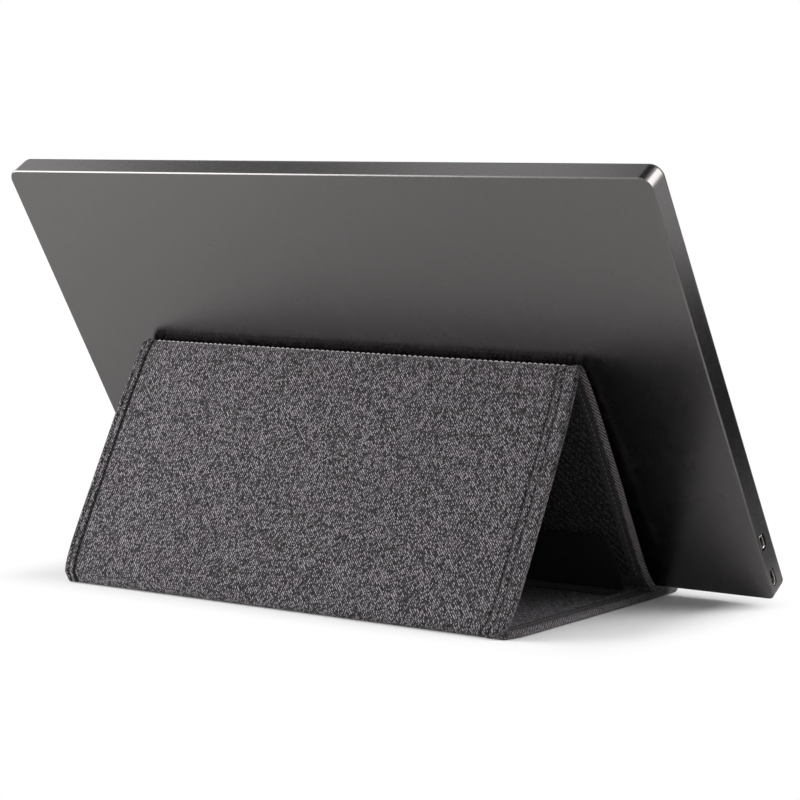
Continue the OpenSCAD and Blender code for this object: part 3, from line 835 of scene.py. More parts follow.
class Nodes:
    """The node tree of one material."""

    def __init__(self, name: str) -> None:
        """Makes the material with its Principled shader."""
        self.material = bpy.data.materials.new(name)
        self.material.use_nodes = True
        self.tree = self.material.node_tree
        self.shader = self.tree.nodes["Principled BSDF"]

    def add(
        self,
        kind: str,
        settings: Optional[dict[str, Any]] = None,
        inputs: Optional[dict[Union[int, str], Any]] = None,
        output: Union[int, str] = 0,
    ) -> Value:
        """Adds a node.

        Args:
            kind: the node's type.
            settings: what is set on the node itself, and "stops" for a ramp, as place and colour pairs.
            inputs: values or links of its sockets, by name or place.
            output: the socket that is wanted.

        Returns:
            That output.
        """
        node = self.tree.nodes.new(kind)
        for key, value in (settings or {}).items():
            if key == "stops":
                self._stops(node.color_ramp, value)
            else:
                setattr(node, key, value)
        for key, value in (inputs or {}).items():
            self.feed(node.inputs[key], value)
        return Value(self, node.outputs[output])

    @staticmethod
    def _stops(ramp: bpy.types.ColorRamp, stops: Sequence[tuple[float, Sequence[float]]]) -> None:
        """Sets a ramp's stops."""
        while len(ramp.elements) > 1:
            ramp.elements.remove(ramp.elements[-1])
        ramp.elements[0].position, ramp.elements[0].color = stops[0][0], (*stops[0][1], 1.0)
        for place, colour in stops[1:]:
            ramp.elements.new(place).color = (*colour, 1.0)

    def feed(self, socket: bpy.types.NodeSocket, value: Any) -> None:
        """Links a value to a socket, or sets the socket to a number or colour."""
        if isinstance(value, Value):
            self.tree.links.new(value.socket, socket)
        elif socket.type == "RGBA" and not isinstance(value, (int, float)) and len(value) == 3:
            socket.default_value = (*value, 1.0)
        else:
            socket.default_value = value

    def place(self) -> Value:
        """Object coordinates, in millimetres."""
        at = self.add("ShaderNodeTexCoord", output="Object")
        return self.add("ShaderNodeVectorMath", {"operation": "SCALE"}, {0: at, "Scale": 1 / MM})

    def cloth_place(self) -> tuple[Value, Value]:
        """u and v along the cloth, in millimetres."""
        at = self.add("ShaderNodeUVMap", {"uv_map": "cloth"})
        parts = self.add("ShaderNodeSeparateXYZ", {}, {0: at})
        return parts * (1 / MM), parts.other(1) * (1 / MM)

    def combine(self, x: Number, y: Number, z: Number = 0.0) -> Value:
        """A vector of three values."""
        return self.add("ShaderNodeCombineXYZ", {}, {0: x, 1: y, 2: z})

    def noise(self, at: Value, scale: float, detail: float = 2.0, rough: float = 0.5) -> Value:
        """Noise from 0 to 1 at a place."""
        inputs = {"Vector": at, "Scale": scale, "Detail": detail, "Roughness": rough}
        return self.add("ShaderNodeTexNoise", {}, inputs)

    def dice(self, at: Value) -> Value:
        """A random number from 0 to 1 for each whole place."""
        return self.add("ShaderNodeTexWhiteNoise", {"noise_dimensions": "3D"}, {"Vector": at})

    def mix(self, share: Number, first: Any, second: Any, blend: str = "MIX") -> Value:
        """A mix of two colours."""
        settings = {"data_type": "RGBA", "blend_type": blend, "clamp_factor": True}
        return self.add("ShaderNodeMix", settings, {0: share, 6: first, 7: second}, output=2)

    def shades(self, share: Value, colour: Sequence[float], low: float, high: float) -> Value:
        """A colour that varies between two multiples of itself."""
        return self.mix(share, tuple(c * low for c in colour), tuple(c * high for c in colour))

    def ramp(self, share: Value, stops: Sequence[tuple[float, Sequence[float]]]) -> Value:
        """A colour ramp."""
        return self.add("ShaderNodeValToRGB", {"stops": stops}, {0: share})

    def bump(self, height: Value, depth: float, strength: float = 1.0) -> Value:
        """A bump normal of a height from 0 to 1 over a depth in metres."""
        return self.add("ShaderNodeBump", {}, {"Height": height, "Distance": depth, "Strength": strength})

    def dress(self, **sockets: Any) -> bpy.types.Material:
        """Sets the Principled shader's sockets, with _ for a space, and gives the material."""
        for key, value in sockets.items():
            self.feed(self.shader.inputs[key.replace("_", " ")], value)
        return self.material


# ---------------------------------------------------------------- finishes


@dataclass(frozen=True)
class Weave:
    """Coarse twill of uneven yarn: two picks over, one under, stepped by one yarn in each pick.

    The yarns that run along the cloth lie on top for two crossings out of three. Each float is a rounded
    bead with a shade of its own, and each yarn drifts in shade along its length. The colour falls with each
    bead's height, as painted shade in the gaps between yarns. Where the cloth is marked with painted shade it
    is dark, and where it is marked as corded it has slanting ribs. A twill with wales has broad
    diagonal lines over its yarns. Lengths across the cloth are in millimetres, and shades run from 0 to 1.
    """

    name: str
    dark: tuple[float, float, float]
    middle: tuple[float, float, float]
    light: tuple[float, float, float]
    yarn: float = 0.44
    pick: float = 0.46
    stripe: float = 0.0
    relief: float = 0.2 * MM
    mottle: float = 0.12
    drift: float = 0.25
    contrast: float = 1.3
    sheen: float = 0.2
    roughness: float = 0.86
    rib: float = 2.0
    rib_slope: float = 1.2
    rib_shade: float = 0.4
    corded_dim: float = 0.7
    corded_lift: float = 0.8
    # how far painted shade darkens the cloth where it is marked
    painted_shade_dim: float = 0.9
    wale: float = 0.0
    wale_pitch: float = 1.9
    wander: float = 0.5
    bead_fullness: float = 0.6
    under_fullness: float = 0.5
    under_height: float = 0.3
    under_shade: float = 0.5
    mean_draw: float = 0.45
    mean_shade: float = 0.42
    fibre: float = 0.25
    # painted shade left in the gaps between yarns, and the gain that lightens the beads' crowns
    gap_painted_shade: float = 0.04
    top_gain: float = 1.25
    middle_at: float = 0.38
    tint: tuple[float, float, float] = (1.06, 0.97, 1.03)
    tint_share: float = 0.35

    def make(self) -> bpy.types.Material:
        """Builds the material."""
        n = Nodes(self.name)
        u_mm, v_mm = n.cloth_place()
        at = n.combine(u_mm, v_mm)
        wander = (n.noise(at, 0.3) - 0.5) * self.wander
        u, v = (u_mm + wander) / self.yarn, (v_mm + wander) / self.pick
        end, pick, across = u.math("FLOOR"), v.math("FLOOR"), u.math("FRACT")
        stepped = v + end
        group = stepped.thirds()
        along = stepped - group * 3.0
        on_top = along.math("GREATER_THAN", 1.0)
        bead = ((along - 1.0) / 2.0).clamp().arch(self.bead_fullness) * across.arch(self.bead_fullness)
        under = along.clamp().arch(self.under_fullness) * self.under_height
        height = on_top * bead + (1.0 - on_top) * under
        own = on_top * n.dice(n.combine(end, group, 3.0))
        own = own + (1.0 - on_top) * n.dice(n.combine(end, pick, 7.0)) * self.under_shade
        drift = n.noise(n.combine(u_mm * 1.3, v_mm * 0.16), 1.0, 3.0, 0.6) - 0.5
        patches = n.noise(at, 0.12, 3.0, 0.6) - 0.5
        striped = (end - end.thirds() * 3.0).math("LESS_THAN", 0.5) * self.stripe
        shade = (own - self.mean_draw) * self.contrast + self.mean_shade + drift * self.drift
        shade = shade + patches * self.mottle + striped
        fibre = n.noise(n.combine(u_mm * 9.0, v_mm * 2.2), 1.0, 2.0, 0.7)
        # painted shade between the yarns: the colour falls with each bead's height
        shade = (shade + (fibre - 0.5) * self.fibre) * (self.gap_painted_shade + height * self.top_gain)
        # the marks' first channel is painted shade, along the sewn lines and on turned-in hems; the second is the
        # cord
        sunk = n.add("ShaderNodeSeparateXYZ", {}, {0: n.add("ShaderNodeUVMap", {"uv_map": "marks"})})
        cord = sunk.other(1)
        ribs = (v_mm - u_mm * self.rib_slope).wave(self.rib) * cord
        shade = shade * ((v_mm + u_mm).wave(self.wale_pitch) * self.wale + 1.0)
        shade = shade * (1.0 - cord * self.corded_dim) + (ribs + cord * self.corded_lift) * self.rib_shade
        # painted shade darkens the cloth where it is marked
        shade = (shade * (1.0 - sunk * self.painted_shade_dim)).clamp()
        colour = n.ramp(shade, [(0.0, self.dark), (self.middle_at, self.middle), (1.0, self.light)])
        tinted = n.noise(at, 0.05).above(0.5, 0.3) * self.tint_share
        return n.dress(
            Base_Color=n.mix(tinted, colour, self.tint, "MULTIPLY"),
            Roughness=self.roughness,
            Normal=n.bump(height + fibre * 0.12 + ribs * 0.8, self.relief),
            Sheen_Weight=self.sheen,
            Sheen_Roughness=0.45,
            Specular_IOR_Level=0.2,
        )


@dataclass(frozen=True)
class Satin:
    """Bead-blasted, coloured metal: fine grain in the gloss and the surface, with faint handling marks."""

    name: str
    colour: tuple[float, float, float]
    roughness: float = 0.34
    grain: float = 0.012 * MM
    grain_scale: float = 5.0

    def make(self) -> bpy.types.Material:
        """Builds the material."""
        n = Nodes(self.name)
        at = n.place()
        fine = n.noise(at, self.grain_scale, 3.0, 0.6)
        cloud = n.noise(at, 0.018, 3.0, 0.55)
        smear = n.noise(at, 0.09, 4.0, 0.65)
        return n.dress(
            Base_Color=n.shades(cloud, self.colour, 0.98, 1.02),
            Metallic=1.0,
            Roughness=self.roughness + (fine - 0.5) * 0.03 + (smear - 0.5) * 0.02,
            Normal=n.bump(fine, self.grain, 0.6),
        )


@dataclass(frozen=True)
class Brushed:
    """Rolled or brushed sheet metal: streaks along one axis."""

    name: str
    colour: tuple[float, float, float]
    roughness: float = 0.3
    stretch: tuple[float, float, float] = (0.05, 3.0, 3.0)

    def make(self) -> bpy.types.Material:
        """Builds the material."""
        n = Nodes(self.name)
        at = n.add("ShaderNodeVectorMath", {"operation": "MULTIPLY"}, {0: n.place(), 1: self.stretch})
        streak = n.noise(at, 2.0, 3.0, 0.6)
        return n.dress(
            Base_Color=n.shades(streak, self.colour, 0.85, 1.0),
            Metallic=1.0,
            Roughness=self.roughness + (streak - 0.5) * 0.15,
            Normal=n.bump(streak, 0.004 * MM, 0.5),
        )


@dataclass(frozen=True)
class Moulded:
    """Moulded plastic, rubber or board: a fine grain and a slow change of shade."""

    name: str
    colour: tuple[float, float, float]
    roughness: float = 0.55
    grain: float = 0.03 * MM
    grain_scale: float = 3.0
    spread: float = 0.12

    def make(self) -> bpy.types.Material:
        """Builds the material."""
        n = Nodes(self.name)
        at = n.place()
        fine, slow = n.noise(at, self.grain_scale), n.noise(at, 0.06, 3.0)
        return n.dress(
            Base_Color=n.shades(slow * 0.7 + fine * 0.3, self.colour, 1 - self.spread, 1 + self.spread),
            Roughness=self.roughness + (fine - 0.5) * 0.1,
            Normal=n.bump(fine, self.grain, 0.5),
        )


@dataclass(frozen=True)
class SmoothCloth:
    """Thin black lining: close, level threads with a faint rib."""

    name: str
    colour: tuple[float, float, float]
    rib: float = 0.35
    roughness: float = 0.7

    def make(self) -> bpy.types.Material:
        """Builds the material."""
        n = Nodes(self.name)
        u, v = n.cloth_place()
        threads = u.wave(self.rib) * v.wave(self.rib) * 0.5 + 0.5
        slow = n.noise(n.combine(u, v), 0.15, 3.0)
        return n.dress(
            Base_Color=n.shades(threads * 0.6 + slow * 0.4, self.colour, 0.6, 1.5),
            Roughness=self.roughness + (slow - 0.5) * 0.1,
            Normal=n.bump(threads, 0.05 * MM, 0.7),
            Sheen_Weight=0.03,
            Specular_IOR_Level=0.25,
        )


@dataclass(frozen=True)
class Twisted:
    """Sewing thread: two plies twisted about each other, seen as slanting lines."""

    name: str
    light: tuple[float, float, float]
    dark: tuple[float, float, float]
    twist: float = 0.45

    def make(self) -> bpy.types.Material:
        """Builds the material."""
        n = Nodes(self.name)
        u, v = n.cloth_place()
        plies = (u + v * 0.6).wave(self.twist) * 0.5 + 0.5
        return n.dress(
            Base_Color=n.mix(plies, self.dark, self.light),
            Roughness=0.6,
            Normal=n.bump(plies, 0.06 * MM),
            Sheen_Weight=0.3,
        )


@dataclass(frozen=True)
class Display:
    """The dark glass of the screen: a matt picture area inside a blacker printed border."""

    name: str = "matt_display_glass"
    picture: tuple[float, float, float] = (0.016, 0.017, 0.02)
    border: tuple[float, float, float] = (0.004, 0.004, 0.0045)
    dot: float = 0.18
    soft: float = 0.2

    def make(self, half_w: float, low: float, high: float) -> bpy.types.Material:
        """Builds the material.

        Args:
            half_w: half the picture's width, in millimetres.
            low: the picture's lower edge above the table, in millimetres.
            high: its upper edge.

        Returns:
            The material.
        """
        n = Nodes(self.name)
        at = n.place()
        parts = n.add("ShaderNodeSeparateXYZ", {}, {0: at})
        z = parts.other(2)
        within = (half_w - parts.math("ABSOLUTE"), z - low, high - z)
        inside = within[0].above(0.0, self.soft) * within[1].above(0.0, self.soft)
        inside = inside * within[2].above(0.0, self.soft)
        dots = (parts.wave(self.dot) * 0.5 + 0.5) * 0.25 + 0.75
        haze = n.noise(at, 4.0)
        return n.dress(
            Base_Color=n.mix(inside * dots, self.border, self.picture),
            Roughness=0.28 + inside * 0.1 + (haze - 0.5) * 0.06,
            Normal=n.bump(haze, 0.006 * MM, 0.5),
        )


@dataclass(frozen=True)
class CircuitBoard:
    """Green lacquer over copper tracks, which show as lighter bands, uneven with a fine grain."""

    name: str = "circuit_board_lacquer"
    lacquer: tuple[float, float, float] = (0.012, 0.09, 0.035)
    track: tuple[float, float, float] = (0.03, 0.19, 0.07)
    track_lines: float = 12.0

    def make(self) -> bpy.types.Material:
        """Builds the material."""
        n = Nodes(self.name)
        at = n.place()
        cells = n.add(
            "ShaderNodeTexVoronoi",
            {"distance": "MANHATTAN", "feature": "F1"},
            {"Vector": at, "Scale": 0.4, "Randomness": 0.75},
        )
        lines = (cells * self.track_lines).math("SINE").above(0.3, 0.3)
        grain = n.noise(at, 1.5)
        return n.dress(
            Base_Color=n.mix(lines * (grain * 0.5 + 0.5), self.lacquer, self.track),
            Roughness=0.35 + (grain - 0.5) * 0.1,
            Normal=n.bump(lines, 0.03 * MM),
        )


class Finish(Enum):
    """The finishes, by the record's slots and the new pieces' names."""

    HOUSING = Satin("satin_gunmetal", (0.134, 0.127, 0.126), 0.27)
    FRAME = Moulded("black_frame_plastic", (0.012, 0.012, 0.0125), 0.42, 0.012 * MM, 6.0)
    BUTTON = Satin("button_gunmetal", (0.12, 0.115, 0.113), 0.38)
    FILM = Moulded("optical_film", (0.8, 0.82, 0.84), 0.35, 0.004 * MM, 8.0, 0.04)
    CLEAR = Moulded("clear_moulding", (0.72, 0.78, 0.8), 0.18, 0.004 * MM, 2.0, 0.05)
    LAMP = Moulded("lamp_phosphor", (0.85, 0.72, 0.3), 0.4, 0.01 * MM, 8.0, 0.1)
    SHEET = Brushed("plain_sheet_steel", (0.5, 0.5, 0.51))
    TRAY = Satin("tray_aluminium", (0.55, 0.55, 0.56), 0.4)
    BOARD = CircuitBoard()
    CHIP = Moulded("chip_black", (0.02, 0.02, 0.021), 0.5, 0.02 * MM, 6.0)
    SOCKET = Brushed("bright_socket_steel", (0.78, 0.77, 0.75), 0.26)
    GOLD = Brushed("contact_gold", (0.85, 0.6, 0.25), 0.3)
    RIBBON = Moulded("amber_ribbon", (0.45, 0.24, 0.05), 0.35, 0.02 * MM, 3.0)
    OUTER = Weave("heather_twill", (0.004, 0.0035, 0.004), (0.07, 0.064, 0.069), (0.48, 0.44, 0.47))
    # The next two finishes are one inner cloth in two copies: the first darkened with painted shade for the inside
    # of the folded stand, the second lightened with painted light where light comes in onto the base.
    INNER = Weave(
        "inner_twill_painted_shade", (0.0006, 0.0005, 0.0007), (0.003, 0.0027, 0.0033), (0.13, 0.118, 0.13),
        stripe=0.05, contrast=0.9, sheen=0.05, wale=0.85,
    )
    BASE_INNER = Weave(
        "inner_twill_painted_light", (0.002, 0.0018, 0.0022), (0.02, 0.018, 0.021), (0.6, 0.54, 0.6),
        stripe=0.3, contrast=1.15, wale=0.35,
    )
    LINING = SmoothCloth("black_lining", (0.0035, 0.0035, 0.0038), roughness=0.88)
    STIFFENER = Moulded("grey_board", (0.24, 0.2, 0.15), 0.85, 0.06 * MM, 1.5, 0.2)
    RUBBER = Moulded("grip_rubber", (0.012, 0.012, 0.012), 0.8, 0.05 * MM, 2.0)
    LIGHT_THREAD = Twisted("light_thread", (0.95, 0.93, 0.94), (0.7, 0.68, 0.69))
    GREY_THREAD = Twisted("grey_thread", (0.17, 0.16, 0.17), (0.07, 0.065, 0.07))
    DARK_THREAD = Twisted("dark_thread", (0.05, 0.047, 0.052), (0.012, 0.011, 0.013))
    MAGNET = Satin("plated_magnet", (0.7, 0.7, 0.69), 0.2)

    def material(self) -> bpy.types.Material:
        """The finish's material, built once."""
        made = bpy.data.materials.get(self.value.name)
        return made if made is not None else self.value.make()


SLOT_FINISH = {
    "housing_metal": Finish.HOUSING,
    "frame_plastic": Finish.FRAME,
    "film": Finish.FILM,
    "clear_plastic": Finish.CLEAR,
    "lamp": Finish.LAMP,
    "sheet_metal": Finish.SHEET,
    "tray_metal": Finish.TRAY,
    "circuit_board": Finish.BOARD,
    "chip_plastic": Finish.CHIP,
    "socket_metal": Finish.SOCKET,
    "ribbon": Finish.RIBBON,
    "button_plastic": Finish.BUTTON,
    "outer_cloth": Finish.OUTER,
    "inner_cloth": Finish.INNER,
    "lining_cloth": Finish.LINING,
    "stiffener": Finish.STIFFENER,
    "grip_rubber": Finish.RUBBER,
    "thread": Finish.LIGHT_THREAD,
    "magnet": Finish.MAGNET,
}


# ---------------------------------------------------------------- screen unit


@dataclass(frozen=True)
class Housing:
    """The metal back with its side walls, the sockets' cut-outs and the buttons' slots, in millimetres.

    Beside a rounded edge, a ring at hold from it keeps the flat wall flat. The section starts at floor_from
    on the inner floor and ends at back_from on the back, and flat faces close it.
    """

    chamfer: float = 0.7
    bevel: float = 0.5
    back_wall: float = 1.0
    side_wall: float = 1.5
    inner_bevel: float = 0.4
    top_corner: float = 6.0
    bottom_corner: float = 3.0
    soften: float = 0.12
    rim: float = 0.15
    hold: float = 0.25
    floor_from: float = 12.0
    back_from: float = 8.0

    def outline(self, layout: Layout, inset: float = 0.0, steps: int = 18) -> Outline:
        """The unit's outline, pushed in by a step in millimetres."""
        i = inset * MM
        low, top = self.bottom_corner * MM - i, self.top_corner * MM - i
        return rectangle(layout.unit_w - 2 * i, i, layout.unit_h - i, low, low, top, top, steps=steps)

    def profile(self, depth: float) -> list[tuple[float, float]]:
        """The wall's section: up the inside, over the rim, down the outside and round the edge to the back.

        Args:
            depth: the side walls' height above the back, in millimetres.

        Returns:
            Pairs of inset and depth, in millimetres.
        """
        w, rim, r, floor, in_bevel = self.side_wall, self.rim, self.soften, self.back_wall, self.inner_bevel
        bend = self.bevel + r * math.tan(math.radians(22.5))
        pairs = [(self.floor_from, floor), (w + in_bevel, floor), (w, floor + in_bevel)]
        pairs += [(w, depth - 2 * rim)] + arc_profile(w - rim, depth - rim, rim, 0, 90, 4)
        pairs += arc_profile(rim, depth - rim, rim, 90, 180, 4) + [(0.0, depth - rim - self.hold)]
        pairs += [(0.0, bend + self.hold)] + arc_profile(r, bend, r, 180, 225, 4)
        return pairs + arc_profile(bend, r, r, 225, 270, 4) + [(bend + self.hold, 0.0), (self.back_from, 0.0)]

    def build(self, layout: Layout, cutters: Sequence[bpy.types.Object]) -> bpy.types.Object:
        """Builds the housing and cuts the openings in its side walls.

        Args:
            layout: the model's layout.
            cutters: closed solids that are taken out of it, and removed afterwards.

        Returns:
            The housing.
        """
        surface = Surface()
        surface.tube(rings_round(layout.screen, self.outline(layout), self.profile(layout.wall_t / MM)))
        shell = surface.build("housing_shell", [Finish.HOUSING.material()], weld=1e-7)
        for cutter in cutters:
            cut = shell.modifiers.new("cut", "BOOLEAN")
            cut.operation, cut.solver, cut.object = "DIFFERENCE", "EXACT", cutter
        graph = bpy.context.evaluated_depsgraph_get()
        mesh = bpy.data.meshes.new_from_object(shell.evaluated_get(graph))
        for used in (shell, *cutters):
            bpy.data.objects.remove(used)
        mesh.materials.clear()
        piece = finish_mesh(mesh, "housing_shell", [Finish.HOUSING.material()], 30)
        return attach(piece, "screen_unit", "housing_metal", "rear_housing")


@dataclass(frozen=True)
class FrontFrame:
    """The black frame round the screen, in millimetres."""

    step: float = 0.25
    seam: float = 0.1
    edge: float = 0.3
    side: float = 6.8
    top: float = 6.4
    foot: float = 22.0
    opening_corner: float = 0.6
    corner_steps: int = 12

    def build(self, layout: Layout) -> bpy.types.Object:
        """Builds the frame: one ring of sections from its outer edge to its opening and back underneath."""
        base, full, e = layout.wall_t / MM + self.seam, layout.unit_t / MM, self.edge
        outer = Housing().outline(layout, self.step, self.corner_steps)
        width, top = layout.unit_w - 2 * self.side * MM, layout.unit_h - self.top * MM
        opening = rectangle(width, self.foot * MM, top, self.opening_corner * MM, steps=self.corner_steps)
        over = [(0.0, base), (0.0, full - 1.5 * e)] + arc_profile(e, full - e, e, 180, 90) + [(2 * e, full)]
        into = [(-2 * e, full)] + arc_profile(-e, full - e, e, 90, 0) + [(0.0, full - 1.5 * e), (0.0, base)]
        rings = rings_round(layout.screen, outer, over) + rings_round(layout.screen, opening, into)
        surface = Surface()
        surface.grid(np.stack([*rings, rings[0]]), wrap=True)
        piece = surface.build("front_bezel", [Finish.FRAME.material()], sharp=40)
        return attach(piece, "screen_unit", "frame_plastic", "front_frame")


def block(
    wide: float, long: float, radius: float, steps: int, at: tuple[float, float] = (0.0, 0.0)
) -> Outline:
    """A rectangle with rounded corners, from sizes in millimetres.

    Args:
        wide: its first size.
        long: its second size.
        radius: its corners' radius.
        steps: the points of each corner.
        at: its middle.

    Returns:
        The outline, in metres.
    """
    signs = ((-1, -1), (1, -1), (1, 1), (-1, 1))
    corners = tuple(((at[0] + a * wide / 2) * MM, (at[1] + b * long / 2) * MM) for a, b in signs)
    return Outline(corners, (radius * MM,) * 4, steps)


@dataclass(frozen=True)
class WallPart:
    """A part in a side wall, in millimetres: its height up the unit, its depth from the back and its size.

    Its outlines run over the unit's depth and the height up it. The opening is larger by clear, and through
    is how far its cutter reaches along X from the wall's face.
    """

    name: str
    height: float
    depth_at: float
    long: float
    short: float
    clear: float = 0.35
    through: tuple[float, float] = (-2.0, 3.0)
    side: ClassVar[float] = -1.0
    steps: ClassVar[int] = 8
    least_corner: ClassVar[float] = 0.01
    round_end: ClassVar[float] = 0.999

    def slot(self, grow: float) -> Outline:
        """The part's outline as a slot with round ends, grown by a step."""
        wide = self.short + 2 * grow
        return block(wide, self.long + 2 * grow, self.round_end * wide / 2, self.steps)

    def opening(self) -> Outline:
        """The outline of the hole in the wall."""
        return self.slot(self.clear)

    def tube(
        self, layout: Layout, surface: Surface, outline: Outline, pairs: Sequence[tuple[float, float]]
    ) -> None:
        """Adds a closed tube that runs into or out of the wall.

        Args:
            layout: the model's layout.
            surface: the surface that takes it.
            outline: the tube's outline.
            pairs: each ring's inset and its distance along X from the wall's face, in millimetres.
        """
        screen, x = layout.screen, self.side * layout.unit_w / 2
        at = screen.place(np.array(x), np.array(self.height * MM), np.array(self.depth_at * MM))
        rings = [(outline.ring(a * MM, self.least_corner * MM), b * MM) for a, b in pairs]
        surface.tube([at + r[:, :1] * screen.out + r[:, 1:] * screen.along + b * ACROSS for r, b in rings])

    def cutter(self, layout: Layout) -> bpy.types.Object:
        """The solid that opens the side wall for this part."""
        surface = Surface()
        self.tube(layout, surface, self.opening(), [(0.0, x) for x in self.through])
        return surface.build(self.name + "_cutter", [])


@dataclass(frozen=True)
class Port(WallPart):
    """One socket, in millimetres: a shell of thin wall, sunk in its opening, with a tongue and contacts.

    The nose is the tongue's rounded front, as pairs of inset and distance from the shell's mouth. The
    contacts span the tongue from their first distance behind the mouth to their second before the end.
    """

    cut: float = 0.0
    corner: float = 0.0
    wall: float = 0.3
    sink: float = 0.5
    length: float = 7.3
    lip: float = 0.2
    back: float = 0.6
    tongue_t: float = 0.7
    tongue_l: float = 6.74
    tongue_shift: float = 0.0
    tongue_corner: float = 0.15
    nose: tuple[tuple[float, float], ...] = ((0.2, 0.9), (0.05, 1.0), (0.0, 1.2))
    contact: tuple[float, float] = (0.08, 0.24)
    contact_span: tuple[float, float] = (1.5, 0.8)
    contact_margin: float = 0.5
    contact_count: int = 12

    def outline(self, grow: float) -> Outline:
        """The socket's outline, grown by a step: a slot with round ends, or one with two corners cut."""
        if self.cut == 0:
            return self.slot(grow)
        w, l, c = self.short / 2 + grow, self.long / 2 + grow, self.cut
        corners = ((-w, -l + c), (-w + c, -l), (w, -l), (w, l), (-w + c, l), (-w, l - c))
        radius = (self.corner + grow) * MM
        return Outline(tuple((a * MM, b * MM) for a, b in corners), (radius,) * 6, self.steps)

    def opening(self) -> Outline:
        """The outline of the hole in the wall, with more room round the socket that has cut corners."""
        return self.outline(self.clear if self.cut == 0 else 2 * self.clear)

    def build(self, layout: Layout) -> None:
        """Builds the socket's shell, closed at the back, and its tongue with the contacts."""
        w, s, end = self.wall, self.sink, self.sink + self.length
        shell, tongue, contacts = Surface(), Surface(), Surface()
        mouth = [(0.0, end), (0.0, s + self.lip)] + arc_profile(w / 2, s + w / 2, w / 2, 180, 360, 7)
        self.tube(layout, shell, self.outline(0), mouth + [(w, s + 2 * self.lip), (w, end - self.back)])
        shape = block(self.tongue_t, self.tongue_l, self.tongue_corner, 5, (self.tongue_shift, 0.0))
        nose = [(inset, s + depth) for inset, depth in self.nose]
        self.tube(layout, tongue, shape, nose + [(0.0, end - self.back)])
        reach = self.tongue_l / 2 - self.contact_margin
        span = [(0.0, s + self.contact_span[0]), (0.0, end - self.contact_span[1])]
        for face in (-1, 1):
            x = self.tongue_shift + face * self.tongue_t / 2
            for place in np.linspace(-reach, reach, self.contact_count):
                self.tube(layout, contacts, block(*self.contact, self.least_corner, 3, (x, place)), span)
        for surface, part, finish, slot, nodes in (
            (shell, "shell", Finish.SOCKET, "socket_metal", [self.name + "_socket"]),
            (tongue, "blade", Finish.CHIP, "chip_plastic", [self.name + "_tongue"]),
            (contacts, "contacts", Finish.GOLD, "socket_metal", []),
        ):
            piece = surface.build(f"{self.name}_{part}", [finish.material()], sharp=35)
            attach(piece, "screen_unit", slot, *nodes)


USB_C = Port("usb_c", 10.0, 4.23, 8.94, 3.26)
MICRO_HDMI = Port(
    "micro_hdmi", 30.1, 4.15, 6.6, 3.1,
    cut=0.92, corner=0.45, tongue_t=0.6, tongue_l=4.0, tongue_shift=0.3, contact_count=8,
)


@dataclass(frozen=True)
class SideButton(WallPart):
    """A long key in the side wall with a soft edge and a slightly crowned face, in millimetres."""

    depth_at: float = 5.0
    long: float = 9.0
    short: float = 2.6
    clear: float = 0.12
    through: tuple[float, float] = (-3.0, 2.0)
    proud: float = 0.6
    edge: float = 0.3
    inside: float = 2.35
    hold: float = 0.05
    crown: float = 0.06
    crown_end: float = 0.1
    side: ClassVar[float] = 1.0
    steps: ClassVar[int] = 9
    least_corner: ClassVar[float] = 0.005

    def build(self, layout: Layout) -> None:
        """Builds the key: straight sides, a rounded edge, and a face that rises as 1 - inset squared."""
        e, top, half = self.edge, self.proud, self.short / 2
        sides = [(0.0, -self.inside), (0.0, top - e - self.hold)] + arc_profile(e, top - e, e, 180, 90)
        insets = np.linspace(e, half - self.crown_end, 6)[1:]
        face = [(a, top + self.crown * (1 - ((half - a) / (half - e)) ** 2)) for a in insets]
        surface = Surface()
        self.tube(layout, surface, self.slot(0), sides + face)
        piece = surface.build(self.name + "_key", [Finish.BUTTON.material()], sharp=50)
        attach(piece, self.name, "button_plastic", self.name)


@dataclass
class ScreenUnit:
    """The screen unit: housing, frame, sockets, keys, glass and everything inside."""

    layout: Layout
    housing: Housing = field(default_factory=Housing)
    ports: tuple[Port, ...] = (USB_C, MICRO_HDMI)
    buttons: tuple[SideButton, ...] = (
        SideButton("power_button", 24.0),
        SideButton("menu_button", 46.0),
        SideButton("up_button", 61.0),
        SideButton("down_button", 76.0),
    )
    picture_w: float = 344.2
    border_foot: float = 22.6
    border_top: float = 7.0

    def build(self) -> None:
        """Builds the unit's pieces and dresses its glass."""
        cutters = [part.cutter(self.layout) for part in (*self.ports, *self.buttons)]
        self.housing.build(self.layout, cutters)
        FrontFrame().build(self.layout)
        for part in (*self.ports, *self.buttons):
            part.build(self.layout)
        self.dress_glass()

    def dress_glass(self) -> None:
        """Gives the glass its dark picture area."""
        screen, front = self.layout.screen, np.array(self.layout.wall_t)
        edges = (self.border_foot * MM, self.layout.unit_h - self.border_top * MM)
        low, high = (screen.place(np.array(0.0), np.array(s), front)[2] / MM for s in edges)
        glass = frame["nodes"]["lcd_glass"]
        glass.data.materials.clear()
        glass.data.materials.append(Display().make(self.picture_w / 2, low, high))


# ---------------------------------------------------------------- folded cover


@dataclass(frozen=True)
class Lay:
    """How the outer cloth of a panel lies on it.

    Start is the cloth's own length at the panel's start, in metres. It grows along the panel where way is 1
    and falls where it is -1. Cording is how strongly the rolled edge is ribbed.
    """

    start: float
    way: float
    seed: int
    cording: float


